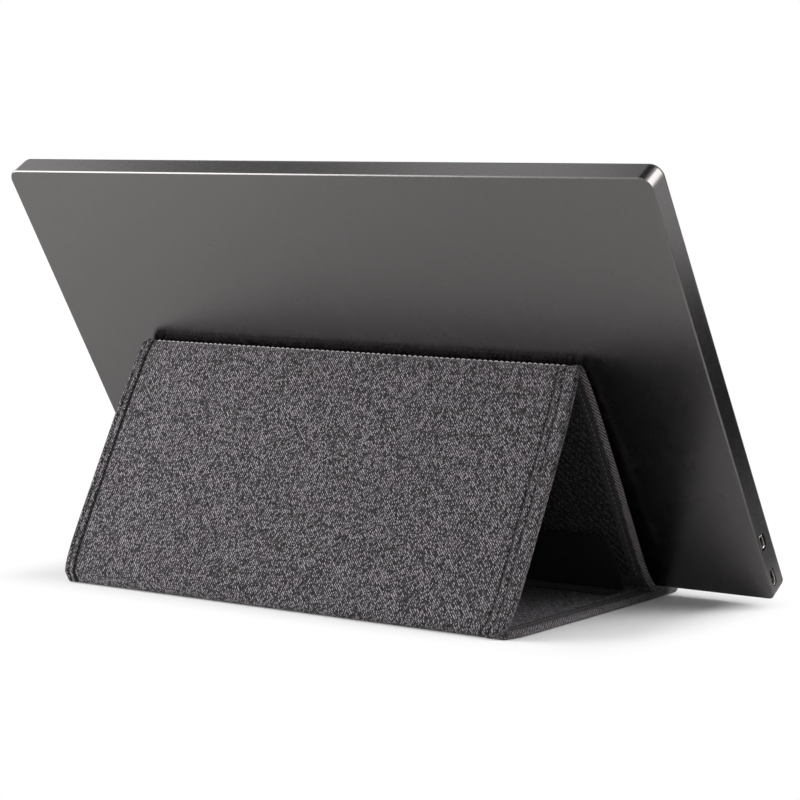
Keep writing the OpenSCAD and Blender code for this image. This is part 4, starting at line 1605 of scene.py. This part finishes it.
@dataclass(frozen=True)
class Skirt:
    """The flap's black cloth where it is sewn down on the base: a strip with a wavy, lifted free edge.

    The edge is a sum of sines, whose heights go with their lengths. Those are in millimetres.
    """

    clear: float = 0.02 * MM
    thick: float = 0.24 * MM
    waves: tuple[float, ...] = (90, 47, 26, 14)
    wave_height: float = 0.8 * MM
    wave_shift: float = 1.5
    phases: float = 6.28
    lift: float = 0.3 * MM
    lift_wave: float = 31
    lift_phase: float = 1.0
    columns: int = 260
    rows: int = 40
    seed: int = 9

    def build(self, middle: float, half_w: float) -> None:
        """Builds the strip.

        Its underside is lifted by the cube of the share of its depth times a sine across. Its thickness
        falls to nothing at both edges, as the root of one less the eighth power of the place between them.

        Args:
            middle: where its middle lies along X.
            half_w: half its width.
        """
        low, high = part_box("flap_strip")
        x = np.linspace(-half_w, half_w, self.columns)[None, :]
        t = np.linspace(0, 1, self.rows)[:, None]
        turns = x / MM * 2 * math.pi
        rng = np.random.default_rng(self.seed)
        wave = np.zeros_like(x)
        for length in self.waves:
            wave = wave + np.sin(turns / length + rng.uniform(0, self.phases)) * length / self.waves[0]
        end = high.y - low.y + (wave - self.wave_shift) * self.wave_height
        y = low.y + t * end
        rise = self.lift * t**3 * (0.5 + 0.5 * np.sin(turns / self.lift_wave + self.lift_phase))
        z = low.z + self.clear + rise + 0 * y
        top = z + self.thick * np.sqrt(np.clip(1 - (2 * t - 1) ** 8, 0, 1))
        across = x + middle + 0 * y
        cloth = np.stack([across, y], -1)
        surface = Surface()
        surface.grid(np.stack([across, y, top], -1), cloth)
        surface.grid(np.stack([across, y, z], -1)[:, ::-1], cloth[:, ::-1])
        for k in (0, -1):
            edge = [np.stack([across[:, k], y[:, k], level[:, k]], -1) for level in (z, top)]
            surface.grid(np.stack(edge, 1), np.stack([cloth[:, k]] * 2, 1))
        piece = surface.build("flap_skirt", [Finish.LINING.material()])
        attach(piece, "cover_base", "lining_cloth", "flap_strip")
        depth = float(end.mean())
        LOG.info("flap skirt %.1f by %.1f mm", 2 * half_w / MM, depth / MM)
        2 * half_w


@dataclass
class Cover:
    """The folded cover: three stiff panels, two folds, the closing flap, hems and stitches.

    A hem on an inner face has a gathered valley, and then ends in a step down that is hem_step wide. Rows
    of stitches stop at row_end from a fold, and at a toe's or the lip's own distance from a free end.
    """

    layout: Layout
    seam: Seam = field(default_factory=Seam)
    base_lay: Lay = Lay(0.0, -1.0, 5, 0.7)
    prop_lay: Lay = Lay(0.3, 1.0, 6, 0.25)
    rest_lay: Lay = Lay(0.6, -1.0, 7, 1.0)
    lip_corner: float = 10 * MM
    foot_corner: float = 3 * MM
    toe: float = 0.1 * MM
    hem_line: float = 5.0 * MM
    hem_step: float = 1.2 * MM
    valley_at: float = 1.6 * MM
    valley_w: float = 0.4 * MM
    valley: float = 0.2 * MM
    valley_gather: float = 0.06 * MM
    fold_rows: int = 33
    fold_fade: float = 4 * MM
    fold_limit: float = 1.57
    rear_tuck: float = 1.8 * MM
    apex_tuck: float = 1.0 * MM
    apex_crest: float = -1.3 * MM
    inner_t: float = 0.42 * MM
    inner_drop: float = 0.38 * MM
    inner_lap: float = 0.4 * MM
    inner_gap: float = 0.8 * MM
    inner_corner: float = 0.6 * MM
    inner_ripple: float = 0.05 * MM
    inner_seed: int = 16
    sink: float = 0.02 * MM
    flap_h: float = 29.0 * MM
    flap_half_t: float = 0.82 * MM
    flap_corner: float = 7 * MM
    flap_grow: float = 0.12 * MM
    flap_tuck: float = 0.3 * MM
    flap_ripple: float = 0.06 * MM
    rib_pitch: float = 1.5 * MM
    rib_depth: float = 0.12 * MM
    rib_border: float = 1.2 * MM
    rib_fade: float = 0.6 * MM
    apex_sunk: float = 1.1 * MM
    seam_sunk: float = 0.75
    row_end: float = 3 * MM
    seam_toe: float = 12 * MM
    hem_toe: float = 9 * MM
    hem_lip: float = 12 * MM

    def build(self) -> None:
        """Builds every piece of the cover."""
        self.panels()
        self.folds()
        self.inner_cloths()
        self.flap()
        self.grip()
        self.apex_stitches()
        self.seam_stitches()
        self.hem_stitches()

    def _relief_out(self, pad: Pad, seed: int) -> Relief:
        """The outer face's relief: seams at both sides and a slight ripple."""
        ripple, seam = Ripple(pad.start, pad.end, seed=seed), self.seam

        def relief(x: np.ndarray, s: np.ndarray, edges: EdgeMap) -> np.ndarray:
            """Seams and ripple together."""
            near_side = edges.left < edges.right
            to_left = np.where(near_side, edges.near, 1.0)
            to_right = np.where(near_side, 1.0, edges.near)
            made = seam.side(to_right, seam.left, seam.left_pull, edges.run)
            made = made + seam.side(to_left, seam.right, seam.right_pull, edges.run)
            return made + ripple.relief(x, s, edges)

        return relief

    def _relief_in(self, x: np.ndarray, s: np.ndarray, edges: EdgeMap) -> np.ndarray:
        """The inner face's relief: hems at full height, and a step down to where the inner cloth lies."""
        hem = self.layout.hem_w
        step = rising(edges.near, hem - self.hem_step / 2, self.hem_step)
        gather = self.valley_gather * np.cos(2 * math.pi * edges.run / self.seam.stitch)
        valley = bell(edges.near, hem - self.valley_at, self.valley_w) * (self.valley + gather)
        return -self.inner_drop * eased(step) - valley

    def _pad(self, axes: Axes, start: float, end: float, **changes: Any) -> Pad:
        """A full-thickness panel."""
        return Pad(axes, self.layout.half_w, start, end, self.layout.in_n, self.layout.out_n, **changes)

    @property
    def base_pad(self) -> Pad:
        """The base panel, from the rear fold to the lip."""
        layout, waist = self.layout, Waist(None, 0.0)
        return self._pad(
            layout.base, 0.0, layout.base_l, round_start=False, corner=self.lip_corner, waist=waist
        )

    @property
    def prop_pad(self) -> Pad:
        """The prop panel, from the apex to the rear fold."""
        layout, waist = self.layout, Waist(0.0, self.layout.pitch)
        return self._pad(layout.prop, 0.0, layout.pitch, round_start=False, round_end=False, waist=waist)

    @property
    def rest_pad(self) -> Pad:
        """The rest panel, from its foot to the apex."""
        layout, waist = self.layout, Waist(self.layout.pitch, None, splay_at=self.toe)
        return self._pad(
            layout.rest, self.toe, layout.pitch, round_end=False, corner=self.foot_corner, waist=waist
        )

    def panels(self) -> None:
        """The outer cloth of the three panels, wrapped round their edges into the inner hems."""
        quarter = self.layout.out_n * math.pi / 2
        rest_lay = replace(self.rest_lay, start=self.rest_lay.start + quarter)
        for pad, lay, body, name, *nodes in (
            (self.base_pad, self.base_lay, "cover_base", "base_cover_cloth", "base_outer_cloth", "base_hem"),
            (self.prop_pad, self.prop_lay, "cover_prop", "prop_cover_cloth", "prop_outer_cloth", "prop_hems"),
            (self.rest_pad, rest_lay, "cover_rest", "rest_cover_cloth", "rest_outer_cloth", "rest_hem"),
        ):
            surface = Surface()
            marks = replace(self.seam, cording=lay.cording).marks
            pad.skin(surface, self._relief_out(pad, lay.seed), self._relief_in, lay.start, lay.way, marks)
            piece = surface.build(name, [Finish.OUTER.material()])
            attach(piece, body, "outer_cloth", *nodes)

    def _fold(
        self, name: str, centre: np.ndarray, angles: tuple[float, float],
        row: int, start: float, crest: float, tuck: float,
    ) -> bpy.types.Object:
        """A fold: the prop panel's section turned about an axis, a point at height n on a circle of radius n.

        Args:
            name: the piece's name.
            centre: a point of the axis.
            angles: the first and last angle above +Y, in radians.
            row: 0 for the panel's first row and -1 for its last.
            start: the cloth's length at the first angle.
            crest: how far the cloth stands out halfway, in metres.
            tuck: how much further the sides draw in halfway, in metres.

        Returns:
            The fold.
        """
        pad, lay = self.prop_pad, self.prop_lay
        x, _, outer, inner, edges = pad.heights(self._relief_out(pad, lay.seed), self._relief_in)
        x, outer, inner = x[row], outer[row], inner[row]
        edges = EdgeMap(edges.left[row], edges.right[row], edges.near[row], edges.run[row])
        share = np.linspace(0, 1, self.fold_rows)[:, None]
        turned = share * (angles[1] - angles[0])
        angle = angles[0] + turned
        swell = np.cos(np.clip((share - 0.5) * math.pi, -self.fold_limit, self.fold_limit))
        raised = crest * swell**1.5 * rising(edges.near, 0, self.fold_fade)
        drawn = x * (1 - tuck * swell / self.layout.half_w)
        marks = replace(self.seam, cording=lay.cording).marks(edges)
        marks = np.broadcast_to(marks, (self.fold_rows, *marks.shape))
        axes = Axes(centre, np.array([0.0, 1.0, 0.0]), np.array([0.0, 0.0, 1.0]))
        v = start - turned * self.layout.out_n
        surface, numbers = Surface(), []
        for radius, u, step in zip((outer + raised, inner + 0 * raised), pad.cloth_across(x, edges), (1, -1)):
            points = axes.place(drawn, radius * np.cos(angle), radius * np.sin(angle))[:, ::step]
            cloth = np.stack(np.broadcast_arrays(u, v), -1)[:, ::step]
            numbers.append(surface.grid(points, cloth, marks=marks[:, ::step]))
        for end in (0, -1):
            surface.cap(list(numbers[0][end]) + list(numbers[1][end]))
        return surface.build(name, [Finish.OUTER.material()])

    def _bend(
        self, piece: bpy.types.Object, bodies: tuple[str, str],
        centre: np.ndarray, angles: tuple[float, float],
    ) -> None:
        """Bakes a fold's placement into its mesh and logs the two bodies that it lies between."""
        ends = [centre + self.layout.out_n * slope(a) for a in angles]
        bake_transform(piece)
        LOG.info("%s bends between %s and %s", piece.name, *bodies)

    def folds(self) -> None:
        """The rolled cloth at the rear and at the apex."""
        up, rise = math.pi / 2, self.layout.rise
        angles, centre = (-up, up - rise), self.layout.rear
        rear = self._fold("rear_fold_cloth", centre, angles, -1, 0.0, 0.0, self.rear_tuck)
        self._bend(rear, ("cover_base", "cover_prop"), centre, angles)
        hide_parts("rear_crease")
        angles, centre, start = (up - rise, up + rise), self.layout.apex, self.prop_lay.start
        apex = self._fold("apex_fold_cloth", centre, angles, 0, start, self.apex_crest, self.apex_tuck)
        self._bend(apex, ("cover_prop", "cover_rest"), centre, angles)
        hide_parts("apex_crease")

    def inner_cloths(self) -> None:
        """The inner cloth on the panels' inner faces, let in between the hems: darker with painted shade on the
        prop and rest panels, lighter with painted light on the base.
        """
        layout, gap = self.layout, self.inner_gap
        inset = layout.hem_w - self.inner_lap
        level, far, lip = layout.in_n - self.sink, layout.pitch - gap, layout.base_l - inset
        for name, body, axes, start, end, node, cloth_from in (
            ("base_inner_twill", "cover_base", layout.base, gap, lip, "base_inner_cloth", 1.0),
            ("prop_inner_twill", "cover_prop", layout.prop, gap, far, "prop_inner_cloth", 1.3),
            ("rest_inner_twill", "cover_rest", layout.rest, self.toe + inset, far, "rest_inner_cloth", 1.6),
        ):
            on_base = body == "cover_base"
            pad = Pad(
                axes, layout.half_w - inset, start, end, level, level + self.inner_t,
                corner=self.lip_corner - inset if on_base else self.inner_corner,
                fine=0.5 * MM, fine_band=3 * MM, row=2 * MM,
            )
            ripple = Ripple(start, end, self.inner_ripple, self.inner_seed)
            surface = Surface()
            pad.skin(surface, no_relief, ripple.relief, cloth_from)
            # the base takes the copy of the inner cloth with painted light, the other panels the one with painted
            # shade
            finish = Finish.BASE_INNER if on_base else Finish.INNER
            piece = surface.build(name, [finish.material()])
            attach(piece, body, "inner_cloth", node)
            2 * pad.half_w
            end - start

    def flap(self) -> None:
        """The black closing flap against the rest panel's inside, and its foot, which is sewn to the base."""
        low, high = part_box("flap_cloth")
        half_w, top = (high.x - low.x) / 2 + self.flap_grow, self.flap_h + self.flap_grow
        pad = Pad(
            self.layout.flap, half_w, -self.flap_tuck, top, -self.flap_half_t, self.flap_half_t,
            round_start=False, corner=self.flap_corner, fine=0.5 * MM, fine_band=10 * MM, row=1.5 * MM,
        )
        relief = Ripple(0, self.flap_h, self.flap_ripple, seed=12).relief
        surface = Surface()
        pad.skin(surface, relief, relief)
        piece = surface.build("closing_flap", [Finish.LINING.material()])
        attach(piece, "cover_flap", "lining_cloth", "flap_cloth", "flap_lining", "flap_foot")
        Skirt().build(self.layout.rear[0], half_w)

    def grip(self) -> None:
        """The ribbed rubber strip on the lip, under the screen unit's lower edge."""
        low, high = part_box("lip_grip")
        foot = np.array([(low.x + high.x) / 2, high.y, low.z])
        axes = Axes(foot, np.array([0.0, -1.0, 0.0]), np.array([0.0, 0.0, 1.0]))
        pad = Pad(
            axes, (high.x - low.x) / 2, 0.0, high.y - low.y, 0.0, high.z - low.z,
            corner=2 * MM, fine=0.3 * MM, fine_band=3 * MM, row=0.25 * MM,
        )

        def ribs(x: np.ndarray, s: np.ndarray, edges: EdgeMap) -> np.ndarray:
            """Low ribs along the strip, sunk below its top."""
            inside = rising(edges.near, self.rib_border, self.rib_fade)
            return -self.rib_depth * inside * (0.5 - 0.5 * np.cos(2 * math.pi * s / self.rib_pitch))

        surface = Surface()
        pad.skin(surface, ribs, no_relief)
        piece = surface.build("lip_grip_strip", [Finish.RUBBER.material()])
        attach(piece, "cover_base", "grip_rubber", "lip_grip")

    def apex_stitches(self) -> None:
        """The row of light stitches along the apex."""
        low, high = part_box("apex_thread")
        up = np.array([0.0, 0.0, 1.0])
        top = self.layout.apex + (self.layout.out_n - self.apex_sunk) * up
        start, stop = (np.array([x, top[1], top[2]]) for x in (low.x, high.x))
        thread = Thread(length=2.3 * MM, radius=0.22 * MM, rise=0.16 * MM, sink=0.2 * MM)
        surface = Surface()
        thread.row(surface, start, stop, up)
        piece = surface.build("apex_stitches", [Finish.LIGHT_THREAD.material()])
        attach(piece, "cover_prop", "thread", "apex_thread")

    @staticmethod
    def _sew(
        pad: Pad, span: tuple[float, float], lines: Sequence[tuple[float, float]], out: int, thread: Thread,
        seed: int,
    ) -> Surface:
        """Rows of stitches along a panel.

        Args:
            pad: the panel.
            span: where the rows start and end along it.
            lines: each row's place across and its height.
            out: 1 for the outer face and -1 for the inner one.
            thread: the stitches' sizes.
            seed: the first row's seed.

        Returns:
            A surface that holds them.
        """
        surface = Surface()
        for number, (x, level) in enumerate(lines):
            first, last = (pad.axes.place(np.array(x), np.array(s), np.array(level)) for s in span)
            shift = pad.waist.follow(span[0], x)
            thread.row(surface, first, last, out * pad.axes.out, seed + number, shift)
        return surface

    def seam_stitches(self) -> None:
        """Dark stitches sunk in the sewn lines of the prop and rest panels' outer faces."""
        layout, seam = self.layout, self.seam
        thread = Thread(seam.stitch, 2.2 * MM, 0.2 * MM, 0.12 * MM, 0.2 * MM, 6, 7)
        places = [layout.half_w - line for line in seam.left] + [line - layout.half_w for line in seam.right]
        pulls = (*seam.left_pull, *seam.right_pull)
        lines = [(x, layout.out_n - seam.depth * self.seam_sunk * pull) for x, pull in zip(places, pulls)]
        for pad, start, body, name in (
            (self.prop_pad, self.row_end, "cover_prop", "prop_seam_stitches"),
            (self.rest_pad, self.seam_toe, "cover_rest", "rest_seam_stitches"),
        ):
            surface = self._sew(pad, (start, layout.pitch - self.row_end), lines, 1, thread, 20)
            piece = surface.build(name, [Finish.DARK_THREAD.material()])
            attach(piece, body, "thread")

    def hem_stitches(self) -> None:
        """The row of grey stitches that holds each turned-in hem, on the panels' inner faces."""
        layout = self.layout
        thread = Thread(2.6 * MM, 1.7 * MM, 0.2 * MM, 0.14 * MM, 0.2 * MM, 6, 7)
        lines = [(side * (layout.half_w - self.hem_line), layout.in_n - self.sink) for side in (-1, 1)]
        near, far = self.row_end, layout.pitch - self.row_end
        for pad, span, body, name in (
            (self.base_pad, (near, layout.base_l - self.hem_lip), "cover_base", "base_hem_stitches"),
            (self.prop_pad, (near, far), "cover_prop", "prop_hem_stitches"),
            (self.rest_pad, (self.hem_toe, far), "cover_rest", "rest_hem_stitches"),
        ):
            piece = self._sew(pad, span, lines, -1, thread, 40).build(name, [Finish.GREY_THREAD.material()])
            attach(piece, body, "thread")


# ---------------------------------------------------------------- studio


@dataclass(frozen=True)
class Softbox:
    """A large soft light."""

    name: str
    azimuth: float
    elevation: float
    distance: float
    width: float
    height: float
    power: float
    colour: tuple[float, float, float] = WHITE

    def build(self, target: np.ndarray) -> None:
        """Places the light at its azimuth and elevation, in degrees, facing the target."""
        back = facing(self.azimuth, self.elevation)
        light = bpy.data.lights.new(self.name, "AREA")
        light.shape, light.size, light.size_y = "RECTANGLE", self.width, self.height
        light.energy, light.color = self.power, self.colour
        lamp = bpy.data.objects.new(self.name, light)
        lamp.location = target + back * self.distance
        lamp.rotation_euler = Vector(-back).to_track_quat("-Z", "Y").to_euler()
        bpy.context.scene.collection.objects.link(lamp)


@dataclass(frozen=True)
class Card:
    """A flat black card that shows only in gloss, to darken what a polished side mirrors."""

    name: str
    centre: tuple[float, float, float]
    facing: tuple[float, float, float]
    width: float
    height: float
    shade: float = 0.01

    def build(self) -> None:
        """Places the card square to the direction that it faces."""
        out = np.array(self.facing) / np.linalg.norm(self.facing)
        side = np.cross([0.0, 0.0, 1.0], out)
        side /= np.linalg.norm(side)
        up = np.cross(out, side)
        across, high = np.meshgrid([-self.width / 2, self.width / 2], [-self.height / 2, self.height / 2])
        surface = Surface()
        surface.grid(np.array(self.centre) + across[..., None] * side + high[..., None] * up)
        card = surface.build(self.name, [Moulded("matt_card", (self.shade,) * 3, 0.9).make()])
        card.visible_camera = card.visible_diffuse = card.visible_shadow = card.visible_transmission = False


@dataclass(frozen=True)
class Studio:
    """The floor, the background, the lights and the camera.

    Where the floor is seen, it fades to white from the footprint outwards: footprint, middle_y and the two
    fades are in millimetres, the fades as a middle and a width.
    """

    azimuth: float = 215.46
    elevation: float = 5.93
    distance: float = 1264.95 * MM
    target: tuple[float, float, float] = (27.4 * MM, 0.0, 82.7 * MM)
    lens: float = 115.36
    sensor: float = 36.0
    clip: tuple[float, float] = (0.05, 20.0)
    floor_radii: tuple[float, ...] = (0.001, 0.3, 0.8, 1.6, 3.0)
    floor_sides: int = 96
    floor_z: float = -0.15 * MM
    floor_shades: tuple[float, float] = (0.85, 0.88)
    footprint: tuple[float, float] = (150.0, 62.0)
    middle_y: float = 57.0
    seen_fade: tuple[float, float] = (16.0, 40.0)
    gloss_fade: tuple[float, float] = (260.0, 260.0)
    ambient: float = 0.06
    surround: tuple[float, float, float] = (0.95, 0.97, 1.0)
    lights: tuple[Softbox, ...] = (
        Softbox("key_light", 128, 22, 0.95, 0.65, 0.55, 9.8),
        Softbox("top_light", 180, 62, 1.4, 1.2, 0.9, 6),
        Softbox("side_light", 280, 34, 0.69, 0.3, 0.45, 3.1),
    )
    cards: tuple[Card, ...] = (
        Card("side_card", (-0.45, -0.3, -0.02), (0.58, 0.81, 0.0), 1.1, 0.32),
        Card("upper_card", (-0.06, -0.08, 0.8), (0.1, 0.05, -1.0), 0.5, 0.4),
        Card("floor_card", (-0.41, -0.34, 0.012), (0.0, 0.02, 1.0), 0.4, 0.72, 0.2),
        Card("front_card", (0.65, -0.23, 0.9), (-0.57, 0.29, -0.773), 0.235, 0.235),
    )

    def build(self) -> None:
        """Builds it all."""
        self.floor()
        self.world()
        for light in self.lights:
            light.build(np.array(self.target))
        for card in self.cards:
            card.build()
        self.camera()
        bpy.context.scene.view_settings.view_transform = "Standard"

    def floor(self) -> None:
        """A wide pale disc that shows the object's shadow, and runs into the white background far from it."""
        angle = np.linspace(0, 2 * math.pi, self.floor_sides, endpoint=False)
        radii = np.array(self.floor_radii)[:, None]
        level = np.full((len(radii), len(angle)), self.floor_z)
        surface = Surface()
        numbers = surface.grid(np.stack([radii * np.cos(angle), radii * np.sin(angle), level], -1), wrap=True)
        surface.cap(numbers[0])
        nodes = Nodes("pale_floor")
        at = nodes.place()
        nodes.dress(Base_Color=nodes.shades(nodes.noise(at, 0.003), WHITE, *self.floor_shades), Roughness=0.9)
        white = nodes.add("ShaderNodeEmission", {}, {"Color": WHITE, "Strength": 1.0})
        x = nodes.add("ShaderNodeSeparateXYZ", {}, {0: at})
        out_x = (x.math("ABSOLUTE") - self.footprint[0]).math("MAXIMUM", 0.0)
        out_y = ((x.other(1) - self.middle_y).math("ABSOLUTE") - self.footprint[1]).math("MAXIMUM", 0.0)
        reach = (out_x * out_x + out_y * out_y).math("SQRT")
        path = nodes.add("ShaderNodeLightPath")
        gloss = (path.other("Is Glossy Ray") + path.other("Is Transmission Ray")).clamp()
        far = (path * reach.above(*self.seen_fade) + gloss * reach.above(*self.gloss_fade)).clamp()
        pale = Value(nodes, nodes.shader.outputs[0])
        mixed = nodes.add("ShaderNodeMixShader", {}, {0: far, 1: pale, 2: white})
        nodes.feed(nodes.tree.nodes["Material Output"].inputs["Surface"], mixed)
        piece = surface.build("studio_floor", [nodes.material])

    def world(self) -> None:
        """White where it is seen directly, in gloss or through glass, and a soft low surround elsewhere."""
        world = bpy.data.worlds.new("studio")
        bpy.context.scene.world = world
        world.use_nodes = True
        tree = world.node_tree
        tree.nodes.clear()
        out = tree.nodes.new("ShaderNodeOutputWorld")
        seen, lit = (tree.nodes.new("ShaderNodeBackground") for _ in range(2))
        for surround, colour, strength in ((seen, WHITE, 1.0), (lit, self.surround, self.ambient)):
            surround.inputs["Color"].default_value = (*colour, 1.0)
            surround.inputs["Strength"].default_value = strength
        mix = tree.nodes.new("ShaderNodeMixShader")
        path = tree.nodes.new("ShaderNodeLightPath")
        share = path.outputs["Is Camera Ray"]
        for name in ("Is Glossy Ray", "Is Transmission Ray"):
            either = tree.nodes.new("ShaderNodeMath")
            either.operation = "MAXIMUM"
            tree.links.new(share, either.inputs[0])
            tree.links.new(path.outputs[name], either.inputs[1])
            share = either.outputs[0]
        tree.links.new(share, mix.inputs[0])
        tree.links.new(lit.outputs[0], mix.inputs[1])
        tree.links.new(seen.outputs[0], mix.inputs[2])
        tree.links.new(mix.outputs[0], out.inputs["Surface"])

    def camera(self) -> None:
        """The camera, which looks at the target from an azimuth and elevation."""
        back = Vector(facing(self.azimuth, self.elevation))
        data = bpy.data.cameras.new("camera")
        data.lens, data.sensor_width = self.lens, self.sensor
        data.clip_start, data.clip_end = self.clip
        eye = bpy.data.objects.new("camera", data)
        eye.location = Vector(self.target) + back * self.distance
        eye.rotation_mode = "QUATERNION"
        eye.rotation_quaternion = (-back).to_track_quat("-Z", "Y")
        bpy.context.scene.collection.objects.link(eye)
        bpy.context.scene.camera = eye


# ---------------------------------------------------------------- the rest of the frame


def dress_frame() -> None:
    """Gives every solid of the frame the finish of its slot."""
    for part in frame["record"]["subparts"]:
        finish = SLOT_FINISH.get(part["material_slot"])
        solid = frame["nodes"][part["node"]]
        if finish is None:
            continue
        solid.data.materials.clear()
        solid.data.materials.append(finish.material())


def main() -> None:
    """Builds the screen unit, the cover and the studio in order."""
    logging.basicConfig(level=logging.INFO, format="%(message)s")
    dress_frame()
    layout = Layout()
    LOG.info("lean %.2f, rise %.2f degrees", math.degrees(layout.lean), math.degrees(layout.rise))
    ScreenUnit(layout).build()
    Cover(layout).build()
    Studio().build()


if __name__ == "__main__":
    main()
